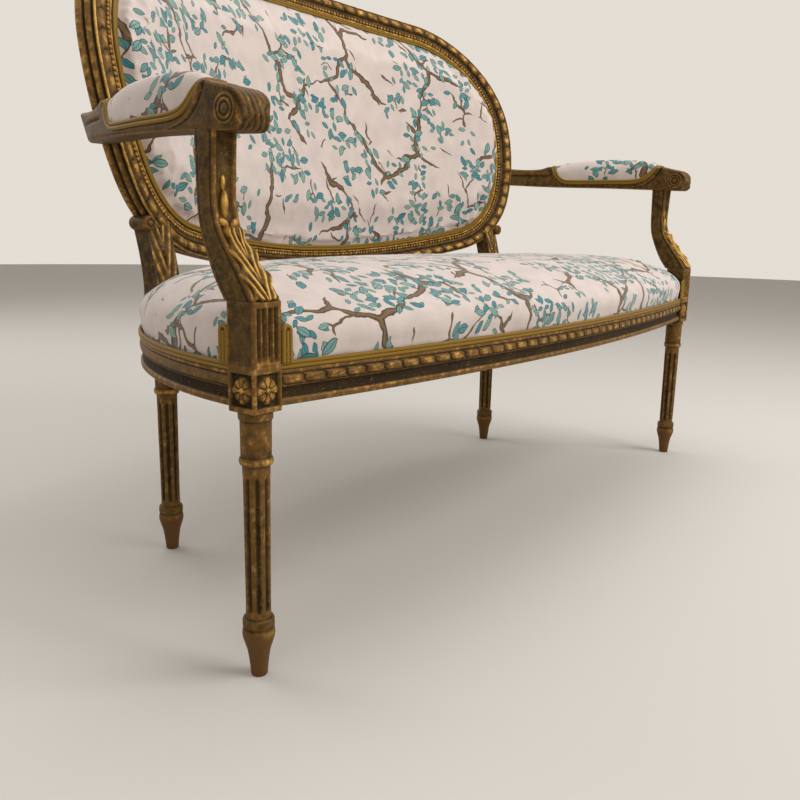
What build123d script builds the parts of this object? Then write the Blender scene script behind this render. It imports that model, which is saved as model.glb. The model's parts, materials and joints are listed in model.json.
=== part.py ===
"""Two-seat settee: carved oval back, open padded arms, bowed sprung seat, fluted turned legs.

Millimetres. +X is to the right in a front view, the front faces -Y, +Z is up.
The origin is on the floor, in the middle of the settee's outer box.
"""

import os
from math import cos, hypot, radians, sin, sqrt, tan

from build123d import *

os.makedirs("parts", exist_ok=True)

# Clearances
joint_gap = 0.2        # between two wood faces that meet
tenon_gap = 0.15       # round a tenon or dowel in its hole
cloth_gap = 0.3        # between a soft piece and its neighbour

# Where the legs stand
front_leg_spacing = 1250
rear_leg_spacing = 906
leg_depth = 374        # front leg axis to rear leg axis

# Turned leg, from the floor up
foot_tip_radius = 9
foot_radius = 17
foot_height = 46
foot_neck_height = 4   # chamfer where the foot meets the collar
foot_neck_step = 2
collar_radius = 16.5
collar_height = 10
shaft_bottom_radius = 13
shaft_top_radius = 14.5
shaft_length = 185
ring_radius = 18.5
ring_height = 10
drum_radius = 16.5
drum_height = 40
cap_height = 8
flute_count = 10
flute_radius = 2.7
flute_end_margin = 14  # plain shaft left above and below a flute

# Square block over each leg, and the fluted stump over the front ones
block_size = 40
block_height = 46
stump_height = 68
panel_margin = 5       # wood left round the sunk rosette panel
panel_depth = 3
rosette_radius = 11
stump_flute_count = 4
stump_flute_radius = 3

# Seat rails
rail_lift = 4          # rail underside above the block's underside
rail_show = 38         # height of the moulded face
rail_tack = 16         # height of the set-back tacking face above it
rail_thickness = 28
rail_setback = 4       # moulded face behind the face of the block
tack_setback = 6
front_bow = 50
side_bow = 38
rear_bow = 88
cove_depth = 5         # hollow in the moulded face
cove_bottom = 7        # fillet under the hollow
cove_height = 13
tenon_length = 15
tenon_thickness = 10
tenon_inset = 8        # tenon edges in from the rail's edges
brace_width = 45
corner_block_leg = 60  # length of a corner block along each rail
corner_block_height = 30
screw_radius = 2
screw_length = 36
screw_head_radius = 4
dowel_radius = 4
dowel_length = 30

# Oval back, drawn flat as eight arcs and laid on a raked, curved surface
back_half_width = 527
back_waist_height = 699     # height of the widest place
back_top_height = 937
back_bottom_height = 406
back_side_radius = 416
back_top_radius = 3000
back_bottom_radius = 1900
back_upper_corner = 213
back_lower_corner = 175
back_plan_radius = 1000
back_rake = 12.9            # degrees
back_set = 99               # front of the back behind the rear leg axis, at rake_height
rake_height = 450
back_member_width = 36
back_thickness = 34
band_inset = 3              # raised carved band, in from the outer edge
band_width = 14
band_rise = 4
bead_inset = 26
bead_width = 5
upper_split = 785           # heights where the side members meet the top and bottom ones
lower_split = 560
upright_depth = 38
upright_rise = 110          # top of a rear upright above the lowest point of the oval
upright_front_sweep = 4     # how far its front and rear edges bend at mid height
upright_rear_sweep = 2
upright_dowel_rise = 72
roll_rise = 80              # roll above the lowest point of the oval
roll_radius = 10            # scrolled roll at the top of a rear upright

# Arms
arm_width = 44
arm_front_overhang = 10     # front end ahead of the front leg axis
arm_front_inset = 4         # arm centre line inside the leg axis at the front
arm_lap = 8                 # how far the arm runs past the outer edge of the back
arm_plan_bow = 26
arm_front_underside = 576
arm_rear_underside = 590
arm_rear_top = 627
arm_pad_seat = 593
arm_nose_top = 628          # wood in front of the pad
arm_end_top = 617
pad_front = 60              # pad ends, behind the front leg axis
pad_rear = 285
pad_crown = 50
pad_round = 13
pad_cover = 1.5
support_width = 32
support_top_depth = 31
support_top_set = 37        # front of the support's top behind the front leg axis
support_bottom_front = 2    # set back from the stump's face
support_bend_height = 100   # above the stump
support_bend_set = 40
support_bend_depth = 26
support_front_sag = 5
support_rear_sag = 8

# Soft pieces of the seat
cloth = 2
seat_crown = 442
seat_leg_gap = 3            # seat cover to the leg blocks, so the leaning arm supports clear it
webbing_width = 50
webbing_thickness = 2
webbing_strips = 9
webbing_rows = 4
dust_cloth = 1.2
hessian = 1.5
spring_radius = 30
spring_waist = 21
spring_wire = 4
spring_columns = 6
spring_spacing = 160
spring_row_spacing = 190
gimp_width = 9
gimp_thickness = 3

# Soft pieces of the back
back_pad_rise = 22          # crown in front of the wood's front surface
back_pad_round = 13
back_pad_depth = 20         # how far the stuffing goes behind that surface
back_web_strips = 5
back_web_rows = 3

# Heights and lines worked out from the sizes above
leg_top = foot_height + collar_height + shaft_length + ring_height + drum_height + cap_height
block_top = leg_top + block_height
stump_top = block_top + stump_height
rail_bottom = leg_top + rail_lift
rail_step = rail_bottom + rail_show
rail_top = rail_step + rail_tack
half = block_size / 2
rake = tan(radians(back_rake))

front_reach = half - rail_setback + front_bow
rear_reach = back_set + rake * (back_top_height - rake_height) + back_thickness
middle_y = (front_reach - rear_reach) / 2
front_y = middle_y - leg_depth / 2
rear_y = middle_y + leg_depth / 2
front_x = front_leg_spacing / 2
rear_x = rear_leg_spacing / 2
back_y = rear_y + back_set
back_axis_y = back_y - back_plan_radius

# Plan circles of the seat rails' outer faces: centre x, centre y, radius
front_end_x = front_x - half
front_end_y = front_y - half + rail_setback
front_radius = (front_end_x**2 + front_bow**2) / (2 * front_bow)
front_circle = (0, front_end_y - front_bow + front_radius, front_radius)

rear_end_x = rear_x - half
rear_end_y = rear_y + half - rail_setback
rear_radius = (rear_end_x**2 + rear_bow**2) / (2 * rear_bow)
rear_circle = (0, rear_end_y + rear_bow - rear_radius, rear_radius)

side_start = (front_x + half - rail_setback, front_y + half)
side_end = (rear_x + half, rear_end_y)
side_chord = hypot(side_end[0] - side_start[0], side_end[1] - side_start[1])
side_radius = (side_chord**2 / 4 + side_bow**2) / (2 * side_bow)
side_out = ((side_end[1] - side_start[1]) / side_chord, (side_start[0] - side_end[0]) / side_chord)
side_circle = (
    (side_start[0] + side_end[0]) / 2 + side_out[0] * (side_bow - side_radius),
    (side_start[1] + side_end[1]) / 2 + side_out[1] * (side_bow - side_radius),
    side_radius,
)


def on_front(x, inset):
    """Point of the front rail's face line at x, moved in by inset."""
    return (x, front_circle[1] - sqrt((front_circle[2] - inset) ** 2 - x**2))


def on_rear(x, inset):
    """Point of the rear rail's face line at x, moved in by inset."""
    return (x, rear_circle[1] + sqrt((rear_circle[2] - inset) ** 2 - x**2))


def on_side(y, inset, sign):
    """Point of a side rail's face line at y, moved in by inset; sign is the side of the settee."""
    x = side_circle[0] + sqrt((side_circle[2] - inset) ** 2 - (y - side_circle[1]) ** 2)
    return (sign * x, y)


def crossing(first, second, near):
    """Where two circles cross, at the crossing closest to a point."""
    dx = second[0] - first[0]
    dy = second[1] - first[1]
    apart = hypot(dx, dy)
    along = (first[2] ** 2 - second[2] ** 2 + apart**2) / (2 * apart)
    across = sqrt(first[2] ** 2 - along**2)
    foot = (first[0] + dx * along / apart, first[1] + dy * along / apart)
    ends = [
        (foot[0] - dy * across / apart, foot[1] + dx * across / apart),
        (foot[0] + dy * across / apart, foot[1] - dx * across / apart),
    ]
    return min(ends, key=lambda p: hypot(p[0] - near[0], p[1] - near[1]))


def shrunk(circle, inset):
    return (circle[0], circle[1], circle[2] - inset)


def between_arcs(outer, inner):
    """Face between two arcs, each given by its start, middle and end."""
    with BuildLine() as outline:
        ThreePointArc(*outer)
        Line(outer[2], inner[2])
        ThreePointArc(*inner)
        Line(inner[0], outer[0])
    make_face(outline.edges())


def front_strip(near, far):
    end = front_end_x - joint_gap
    between_arcs(
        (on_front(-end, near), on_front(0, near), on_front(end, near)),
        (on_front(-end, far), on_front(0, far), on_front(end, far)),
    )


def rear_strip(near, far):
    end = rear_end_x - joint_gap
    between_arcs(
        (on_rear(-end, near), on_rear(0, near), on_rear(end, near)),
        (on_rear(-end, far), on_rear(0, far), on_rear(end, far)),
    )


def side_strip(near, far, sign):
    """Strip along a side rail, from the front block's rear face to a radial end inside the rear block."""
    start_y = side_start[1] + joint_gap
    end_dir = ((side_end[0] - side_circle[0]) / side_radius, (side_end[1] - side_circle[1]) / side_radius)
    arcs = []
    for inset in (near, far):
        radius = side_radius - inset
        end = (sign * (side_circle[0] + end_dir[0] * radius), side_circle[1] + end_dir[1] * radius)
        start = on_side(start_y, inset, sign)
        arcs.append((start, on_side((start_y + end[1]) / 2, inset, sign), end))
    between_arcs(*arcs)


def seat_outline(inset, rear_inset, mode=Mode.ADD):
    """Seat outline of four arcs, moved in from the rails' faces."""
    front = shrunk(front_circle, inset)
    rear = shrunk(rear_circle, rear_inset)
    right = shrunk(side_circle, inset)
    fr = crossing(front, right, (front_x, front_y))
    rr = crossing(rear, right, (rear_x, rear_y))
    mid_y = (fr[1] + rr[1]) / 2
    with BuildLine() as outline:
        ThreePointArc((-fr[0], fr[1]), on_front(0, inset), fr)
        ThreePointArc(fr, on_side(mid_y, inset, 1), rr)
        ThreePointArc(rr, on_rear(0, rear_inset), (-rr[0], rr[1]))
        ThreePointArc((-rr[0], rr[1]), on_side(mid_y, inset, -1), (-fr[0], fr[1]))
    make_face(outline.edges(), mode=mode)


def cut_leg_squares(grow):
    """Cut the four square leg blocks, grown by a clearance, out of a plan."""
    for x, y in ((front_x, front_y), (rear_x, rear_y)):
        with Locations((x, y), (-x, y)):
            Rectangle(block_size + 2 * grow, block_size + 2 * grow, mode=Mode.SUBTRACT)


def corner_centre(rise, cap_radius, corner_radius):
    """Centre of the corner arc between the oval's side arc and its top or bottom arc."""
    side = (back_half_width - back_side_radius, 0, back_side_radius - corner_radius)
    cap = (0, rise - cap_radius, cap_radius - corner_radius)
    return crossing(side, cap, (back_half_width, rise))


def oval(offset):
    """The back's outer outline, drawn in x and height, moved out by offset (in if negative)."""
    caps = (
        (1, back_top_height - back_waist_height, back_top_radius, back_upper_corner),
        (-1, back_waist_height - back_bottom_height, back_bottom_radius, back_lower_corner),
    )
    side_x = back_half_width - back_side_radius
    side_ends = []
    for way, rise, cap_radius, corner_radius in caps:
        cx, cz = corner_centre(rise, cap_radius, corner_radius)
        from_side = (cx - side_x, cz)
        from_cap = (cx, cz - rise + cap_radius)
        ends = []
        for ray in (from_side, from_cap):
            length = hypot(*ray)
            ends.append((ray[0] / length, ray[1] / length))
        middle = (ends[0][0] + ends[1][0], ends[0][1] + ends[1][1])
        length = hypot(*middle)
        reach = corner_radius + offset
        points = []
        for ray in (ends[0], (middle[0] / length, middle[1] / length), ends[1]):
            points.append((cx + ray[0] * reach, back_waist_height + way * (cz + ray[1] * reach)))
        ThreePointArc(*points)
        ThreePointArc(*[(-x, z) for x, z in points])
        top = (0, back_waist_height + way * (rise + offset))
        ThreePointArc(points[2], top, (-points[2][0], points[2][1]))
        side_ends.append(points[0])
    waist = (back_half_width + offset, back_waist_height)
    ThreePointArc(side_ends[0], waist, side_ends[1])
    ThreePointArc(*[(-x, z) for x, z in (side_ends[0], waist, side_ends[1])])


def oval_face(outer, inner=None):
    """Flat oval, or an oval ring when an inner offset is given."""
    with BuildLine() as rim:
        oval(outer)
    make_face(rim.edges())
    if inner is not None:
        with BuildLine() as hole:
            oval(inner)
        make_face(hole.edges(), mode=Mode.SUBTRACT)


slab_margin = 40            # working slab past the oval on every side
slab_low = back_bottom_height - slab_margin
slab_high = back_top_height + slab_margin
slab_half_width = back_half_width + slab_margin
through = front_leg_spacing  # reach of a cut that goes right through


def back_slab(front_depth, rear_depth, mode=Mode.INTERSECT):
    """Curved, raked layer of the back between two depths behind its front surface."""
    axis_y = back_axis_y + rake * (slab_low - rake_height)
    arcs = []
    for depth in (front_depth, rear_depth):
        radius = back_plan_radius + depth
        end_y = axis_y + sqrt(radius**2 - slab_half_width**2)
        arcs.append(((-slab_half_width, end_y), (0, axis_y + radius), (slab_half_width, end_y)))
    with BuildSketch(Plane.XY.offset(slab_low)) as strip:
        between_arcs(*arcs)
    lean = radians(back_rake)
    slant = (slab_high - slab_low) / cos(lean)
    extrude(strip.sketch, amount=slant, dir=(0, sin(lean), cos(lean)), mode=mode)


def back_surface(x, z, depth):
    """y of the back's surface at x and height z, at a depth behind its front."""
    radius = back_plan_radius + depth
    return back_axis_y + rake * (z - rake_height) + sqrt(radius**2 - x**2)


def back_layer(outer, inner, front_depth, rear_depth):
    """Part block holding one oval layer of the back."""
    with BuildPart() as layer:
        with BuildSketch(Plane.XZ):
            oval_face(outer, inner)
        extrude(amount=through, both=True)
        back_slab(front_depth, rear_depth)
    return layer.part


def write(shape, name):
    shape.label = name
    export_step(shape, f"parts/{name}.step")


# Dowels of each joint: middle point and direction
lean_dir = (0, sin(radians(back_rake)), cos(radians(back_rake)))
dowel_inset = dowel_radius + 1
dowel_heights = (rail_bottom + dowel_inset + rail_lift, rail_step - dowel_inset)
member_middle = -back_member_width / 2


def oval_x(height, offset):
    """Half width of the oval at a height on its side arc or corner arcs."""
    way = 1 if height > back_waist_height else -1
    caps = {
        1: (back_top_height - back_waist_height, back_top_radius, back_upper_corner),
        -1: (back_waist_height - back_bottom_height, back_bottom_radius, back_lower_corner),
    }
    cx, cz = corner_centre(*caps[way])
    rise = way * (height - back_waist_height)
    side_x = back_half_width - back_side_radius
    tangent_rise = cz * back_side_radius / (back_side_radius - caps[way][2])
    if rise < tangent_rise:
        return side_x + sqrt((back_side_radius + offset) ** 2 - rise**2)
    return cx + sqrt((caps[way][2] + offset) ** 2 - (rise - cz) ** 2)


rear_rail_dowels = []
side_rail_dowels = []
back_dowels = []
upright_dowels = []
arm_dowels = []
side_dowel_y = rear_y - half / 2
upright_dowel_z = back_bottom_height + upright_dowel_rise
arm_dowel_z = (arm_rear_underside + arm_rear_top) / 2
arm_dowel_y = back_surface(oval_x(arm_dowel_z, 0), arm_dowel_z, back_thickness / 2)
for sign in (-1, 1):
    for z in dowel_heights:
        rear_rail_dowels.append(((sign * rear_end_x, rear_end_y - rail_thickness / 2, z), (sign, 0, 0)))
        side_rail_dowels.append(((sign * (rear_x + half), side_dowel_y, z), (sign, 0, 0)))
    for z in (upper_split, lower_split):
        x = oval_x(z, member_middle)
        back_dowels.append(((sign * x, back_surface(x, z, back_thickness / 2), z), lean_dir))
    upright_dowel_y = back_surface(rear_x, upright_dowel_z, back_thickness / 2)
    upright_dowels.append(((sign * rear_x, upright_dowel_y, upright_dowel_z), (0, 0, 1)))
    arm_dowels.append(((sign * oval_x(arm_dowel_z, 0), arm_dowel_y, arm_dowel_z), (sign, 0, 0)))


def rods(points, grow=0.0):
    """Rods along dowels; with a clearance they are cut as holes."""
    for middle, direction in points:
        start = Vector(*middle) - Vector(*direction) * (dowel_length / 2 + grow)
        with BuildSketch(Plane(origin=start, z_dir=direction)) as end:
            Circle(dowel_radius + grow)
        extrude(end.sketch, amount=dowel_length + 2 * grow, mode=Mode.SUBTRACT if grow else Mode.ADD)


def turned_leg(x, y):
    """Foot, collar, tapered fluted shaft, ring and drum, turned about the leg's axis."""
    collar_top = foot_height + collar_height
    shaft_top = collar_top + shaft_length
    ring_top = shaft_top + ring_height
    drum_top = ring_top + drum_height
    with BuildSketch(Plane(origin=(x, y, 0), x_dir=(1, 0, 0), z_dir=(0, -1, 0))) as profile:
        with BuildLine():
            Polyline((0, 0), (foot_tip_radius, 0))
            ThreePointArc(
                (foot_tip_radius, 0),
                ((foot_tip_radius + foot_radius) / 2, foot_height / 2),
                (foot_radius, foot_height - foot_neck_height),
            )
            Polyline(
                (foot_radius, foot_height - foot_neck_height),
                (foot_radius - foot_neck_step, foot_height),
                (collar_radius, foot_height),
                (collar_radius, collar_top),
                (shaft_bottom_radius, collar_top),
                (shaft_top_radius, shaft_top),
                (drum_radius, shaft_top),
            )
            ThreePointArc(
                (drum_radius, shaft_top),
                (ring_radius, shaft_top + ring_height / 2),
                (drum_radius, ring_top),
            )
            Polyline(
                (drum_radius, ring_top),
                (drum_radius, drum_top),
                (ring_radius, drum_top),
                (ring_radius, leg_top),
                (0, leg_top),
                (0, 0),
            )
        make_face()
    revolve(profile.sketch, axis=Axis((x, y, 0), (0, 0, 1)))
    taper = (shaft_top_radius - shaft_bottom_radius) / shaft_length
    flute_low = collar_top + flute_end_margin
    flute_length = shaft_length - 2 * flute_end_margin
    for step in range(flute_count):
        angle = radians(360 * (step + 0.5) / flute_count)
        out = (cos(angle), sin(angle))
        reach = shaft_bottom_radius + taper * flute_end_margin + flute_radius / 4
        start = (x + out[0] * reach, y + out[1] * reach, flute_low)
        with BuildSketch(Plane(origin=start, z_dir=(out[0] * taper, out[1] * taper, 1))) as flute:
            Circle(flute_radius)
        extrude(flute.sketch, amount=flute_length, mode=Mode.SUBTRACT)


def leg_block(x, y, top):
    with BuildSketch(Plane.XY.offset(leg_top)) as square:
        with Locations((x, y)):
            Rectangle(block_size, block_size)
    extrude(square.sketch, amount=top - leg_top)


# Corner blocks in the four seat corners, each held by a screw into its leg
screw_z = (dowel_heights[0] + dowel_heights[1]) / 2
corners = []
for name, x, y, way in (("front", front_x, front_y, 1), ("rear", rear_x, rear_y, -1)):
    reach = half + corner_block_leg
    inner = (x - reach, y)
    outer = (x if way > 0 else x + half, y + way * reach)
    middle = ((inner[0] + outer[0]) / 2, (inner[1] + outer[1]) / 2)
    span = hypot(outer[0] - inner[0], outer[1] - inner[1])
    normal = (way * (outer[1] - inner[1]) / span, -way * (outer[0] - inner[0]) / span)
    corners.append((name, (x, y), inner, outer, middle, normal))


def screw(middle, normal, sign, grow):
    """Screw through a corner block into the leg: shank, and a head on the block's long face."""
    point_dir = (sign * normal[0], normal[1], 0)
    head = (sign * middle[0], middle[1], screw_z)
    with BuildSketch(Plane(origin=head, z_dir=point_dir)) as shank:
        Circle(screw_radius + grow)
    extrude(shank.sketch, amount=screw_length + grow, mode=Mode.SUBTRACT if grow else Mode.ADD)
    if not grow:
        with BuildSketch(Plane(origin=head, z_dir=point_dir)) as cap:
            Circle(screw_head_radius)
        extrude(cap.sketch, amount=-screw_radius)


tenon_low = rail_bottom + tenon_inset
tenon_high = rail_top - tenon_inset
front_tenon_y = front_end_y + rail_thickness / 2
side_tenon_x = side_start[0] - rail_thickness / 2
support_tenon_depth = support_top_depth / 2
support_tenon_width = support_width / 2


def front_tenons(grow):
    """Tenons of the front rail, in plan."""
    length = tenon_length + grow
    with Locations((front_end_x + length / 2, front_tenon_y), (-front_end_x - length / 2, front_tenon_y)):
        Rectangle(length, tenon_thickness + 2 * grow)


def side_tenon(sign, grow):
    """Front tenon of a side rail, in plan."""
    length = tenon_length + grow
    with Locations((sign * side_tenon_x, side_start[1] - length / 2)):
        Rectangle(tenon_thickness + 2 * grow, length)


panel_size = block_size - 2 * panel_margin

for side, sign in (("left", -1), ("right", 1)):
    x = sign * front_x
    with BuildPart() as front_leg:
        turned_leg(x, front_y)
        leg_block(x, front_y, stump_top)
        panel_z = leg_top + block_height / 2
        faces = (
            Plane(origin=(x, front_y - half, panel_z), x_dir=(1, 0, 0), z_dir=(0, -1, 0)),
            Plane(origin=(x + sign * half, front_y, panel_z), x_dir=(0, sign, 0), z_dir=(sign, 0, 0)),
        )
        for face in faces:
            with BuildSketch(face):
                Rectangle(panel_size, panel_size)
                Circle(rosette_radius, mode=Mode.SUBTRACT)
            extrude(amount=-panel_depth, mode=Mode.SUBTRACT)
        flute_pitch = panel_size / stump_flute_count
        with BuildSketch(Plane.XY.offset(block_top + panel_margin)):
            with Locations((x, front_y - half)):
                with GridLocations(flute_pitch, 1, stump_flute_count, 1):
                    Circle(stump_flute_radius)
        extrude(amount=stump_height - 2 * panel_margin, mode=Mode.SUBTRACT)
        with BuildSketch(Plane.XY.offset(tenon_low - tenon_gap)):
            front_tenons(tenon_gap)
            side_tenon(sign, tenon_gap)
        extrude(amount=tenon_high - tenon_low + 2 * tenon_gap, mode=Mode.SUBTRACT)
        with BuildSketch(Plane.XY.offset(stump_top)):
            with Locations((x, front_y)):
                Rectangle(support_tenon_width + 2 * tenon_gap, support_tenon_depth + 2 * tenon_gap)
        extrude(amount=-tenon_length - tenon_gap, mode=Mode.SUBTRACT)
        screw(*corners[0][4:], sign, tenon_gap)
    write(front_leg.part, f"front_leg_{side}")

roll_z = back_bottom_height + roll_rise
for side, sign in (("left", -1), ("right", 1)):
    x = sign * rear_x
    top_z = back_bottom_height + upright_rise
    top_front = back_surface(rear_x, top_z, 0)
    top_rear = top_front + upright_depth
    middle_z = (block_top + top_z) / 2
    with BuildPart() as rear_leg:
        turned_leg(x, rear_y)
        leg_block(x, rear_y, rail_top)
        with BuildSketch(Plane.YZ.offset(x - half)):
            with BuildLine():
                ThreePointArc(
                    (rear_y - half, rail_top),
                    (rear_y - half + upright_front_sweep, middle_z),
                    (top_front, top_z),
                )
                Line((top_front, top_z), (top_rear, top_z))
                ThreePointArc(
                    (top_rear, top_z),
                    (rear_y + half - upright_rear_sweep, middle_z),
                    (rear_y + half, rail_top),
                )
                Line((rear_y + half, rail_top), (rear_y - half, rail_top))
            make_face()
        extrude(amount=block_size)
        roll_y = back_surface(rear_x, roll_z, 0)
        with BuildSketch(Plane(origin=(x + sign * half, roll_y, roll_z), z_dir=(0, 1, 0))):
            Circle(roll_radius)
        extrude(amount=upright_depth)
        with BuildSketch(Plane.XZ):
            oval_face(joint_gap)
        extrude(amount=through, both=True, mode=Mode.SUBTRACT)
        own = [d for d in rear_rail_dowels + side_rail_dowels + upright_dowels if d[0][0] * sign > 0]
        rods(own, tenon_gap)
        screw(*corners[1][4:], sign, tenon_gap)
    write(rear_leg.part, f"rear_leg_{side}")

# Seat rails: plain upper fillet, hollow, lower fillet, and the set-back tacking face on top
rail_steps = (
    (rail_bottom, rail_bottom + cove_bottom, 0),
    (rail_bottom + cove_bottom, rail_bottom + cove_bottom + cove_height, cove_depth),
    (rail_bottom + cove_bottom + cove_height, rail_step, 0),
    (rail_step, rail_top, tack_setback),
)

with BuildPart() as front_rail:
    for low, high, inset in rail_steps:
        with BuildSketch(Plane.XY.offset(low)):
            front_strip(inset, rail_thickness)
        extrude(amount=high - low)
    with BuildSketch(Plane.XY.offset(tenon_low)):
        front_tenons(0)
        with Locations((front_end_x, front_tenon_y), (-front_end_x, front_tenon_y)):
            Rectangle(2 * joint_gap, tenon_thickness)
    extrude(amount=tenon_high - tenon_low)
write(front_rail.part, "front_rail")

with BuildPart() as rear_rail:
    for low, high, inset in ((rail_bottom, rail_step, 0), (rail_step, rail_top, tack_setback)):
        with BuildSketch(Plane.XY.offset(low)):
            rear_strip(inset, rail_thickness)
        extrude(amount=high - low)
    rods(rear_rail_dowels, tenon_gap)
write(rear_rail.part, "rear_rail")

for side, sign in (("left", -1), ("right", 1)):
    with BuildPart() as side_rail:
        for low, high, inset in rail_steps:
            with BuildSketch(Plane.XY.offset(low)):
                side_strip(inset, rail_thickness, sign)
                if low == rail_step:
                    seat_outline(tack_setback, tack_setback, mode=Mode.INTERSECT)
            extrude(amount=high - low)
        with BuildSketch(Plane.XY.offset(tenon_low)):
            side_tenon(sign, 0)
            with Locations((sign * side_tenon_x, side_start[1])):
                Rectangle(tenon_thickness, 2 * joint_gap)
        extrude(amount=tenon_high - tenon_low)
        with BuildSketch(Plane.XY.offset(rail_bottom)):
            with Locations((sign * rear_x, rear_y)):
                Rectangle(block_size + 2 * joint_gap, block_size + 2 * joint_gap)
        extrude(amount=rail_top - rail_bottom, mode=Mode.SUBTRACT)
        rods([d for d in side_rail_dowels if d[0][0] * sign > 0], tenon_gap)
    write(side_rail.part, f"side_rail_{side}")

# Oval back frame: body, carved band and bead row, cut into four members
with BuildPart() as back_ring:
    add(back_layer(0, -back_member_width, band_rise, back_thickness))
    add(back_layer(-band_inset, -band_inset - band_width, 0, band_rise))
    add(back_layer(-bead_inset, -bead_inset - bead_width, band_rise / 2, band_rise))
    rods(back_dowels + upright_dowels + arm_dowels, tenon_gap)

members = (
    ("back_top_rail", upper_split, None, 0),
    ("back_stile_left", lower_split, upper_split, -1),
    ("back_stile_right", lower_split, upper_split, 1),
    ("back_bottom_rail", None, lower_split, 0),
)
for name, low, high, sign in members:
    with BuildPart() as member:
        add(back_ring.part)
        if low is not None:
            split(bisect_by=Plane.XY.offset(low + joint_gap / 2), keep=Keep.TOP)
        if high is not None:
            split(bisect_by=Plane.XY.offset(high - joint_gap / 2), keep=Keep.BOTTOM)
        if sign:
            split(bisect_by=Plane.YZ, keep=Keep.TOP if sign > 0 else Keep.BOTTOM)
    write(member.part, name)

# Arms: a plan shape crossed with a side profile
arm_end_y = front_y - arm_front_overhang
arm_tail_y = back_surface(oval_x(arm_dowel_z, 0), arm_dowel_z, back_thickness) - band_rise
arm_front_x = front_x - arm_front_inset
arm_tail_x = oval_x(arm_dowel_z, 0) + arm_width / 2 - arm_lap
pad_front_y = front_y + pad_front
pad_rear_y = front_y + pad_rear
arm_round = (arm_end_top - arm_front_underside) / 2


def arm_plan(inset, sign):
    """Arm seen from above, moved in from its sides."""
    arcs = []
    for edge in (arm_width / 2 - inset, inset - arm_width / 2):
        start = (sign * (arm_front_x + edge), arm_end_y)
        end = (sign * (arm_tail_x + edge), arm_tail_y)
        middle = ((start[0] + end[0]) / 2 + sign * arm_plan_bow, (start[1] + end[1]) / 2)
        arcs.append((start, middle, end))
    between_arcs(*arcs)


def arm_underside(y):
    """Height of the arm's underside at y."""
    share = (y - arm_end_y) / (arm_tail_y - arm_end_y)
    return arm_front_underside + (arm_rear_underside - arm_front_underside) * share


def keep_between(low_y, high_y):
    """Keep the part of a plan between two y lines."""
    with Locations((0, (low_y + high_y) / 2)):
        Rectangle(2 * front_leg_spacing, high_y - low_y, mode=Mode.INTERSECT)


support_front_y = front_y + support_top_set
support_rear_y = support_front_y + support_top_depth
support_tenon_y = (support_front_y + support_rear_y) / 2
arm_tenon_height = (arm_pad_seat - arm_underside(support_rear_y)) / 2

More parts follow.
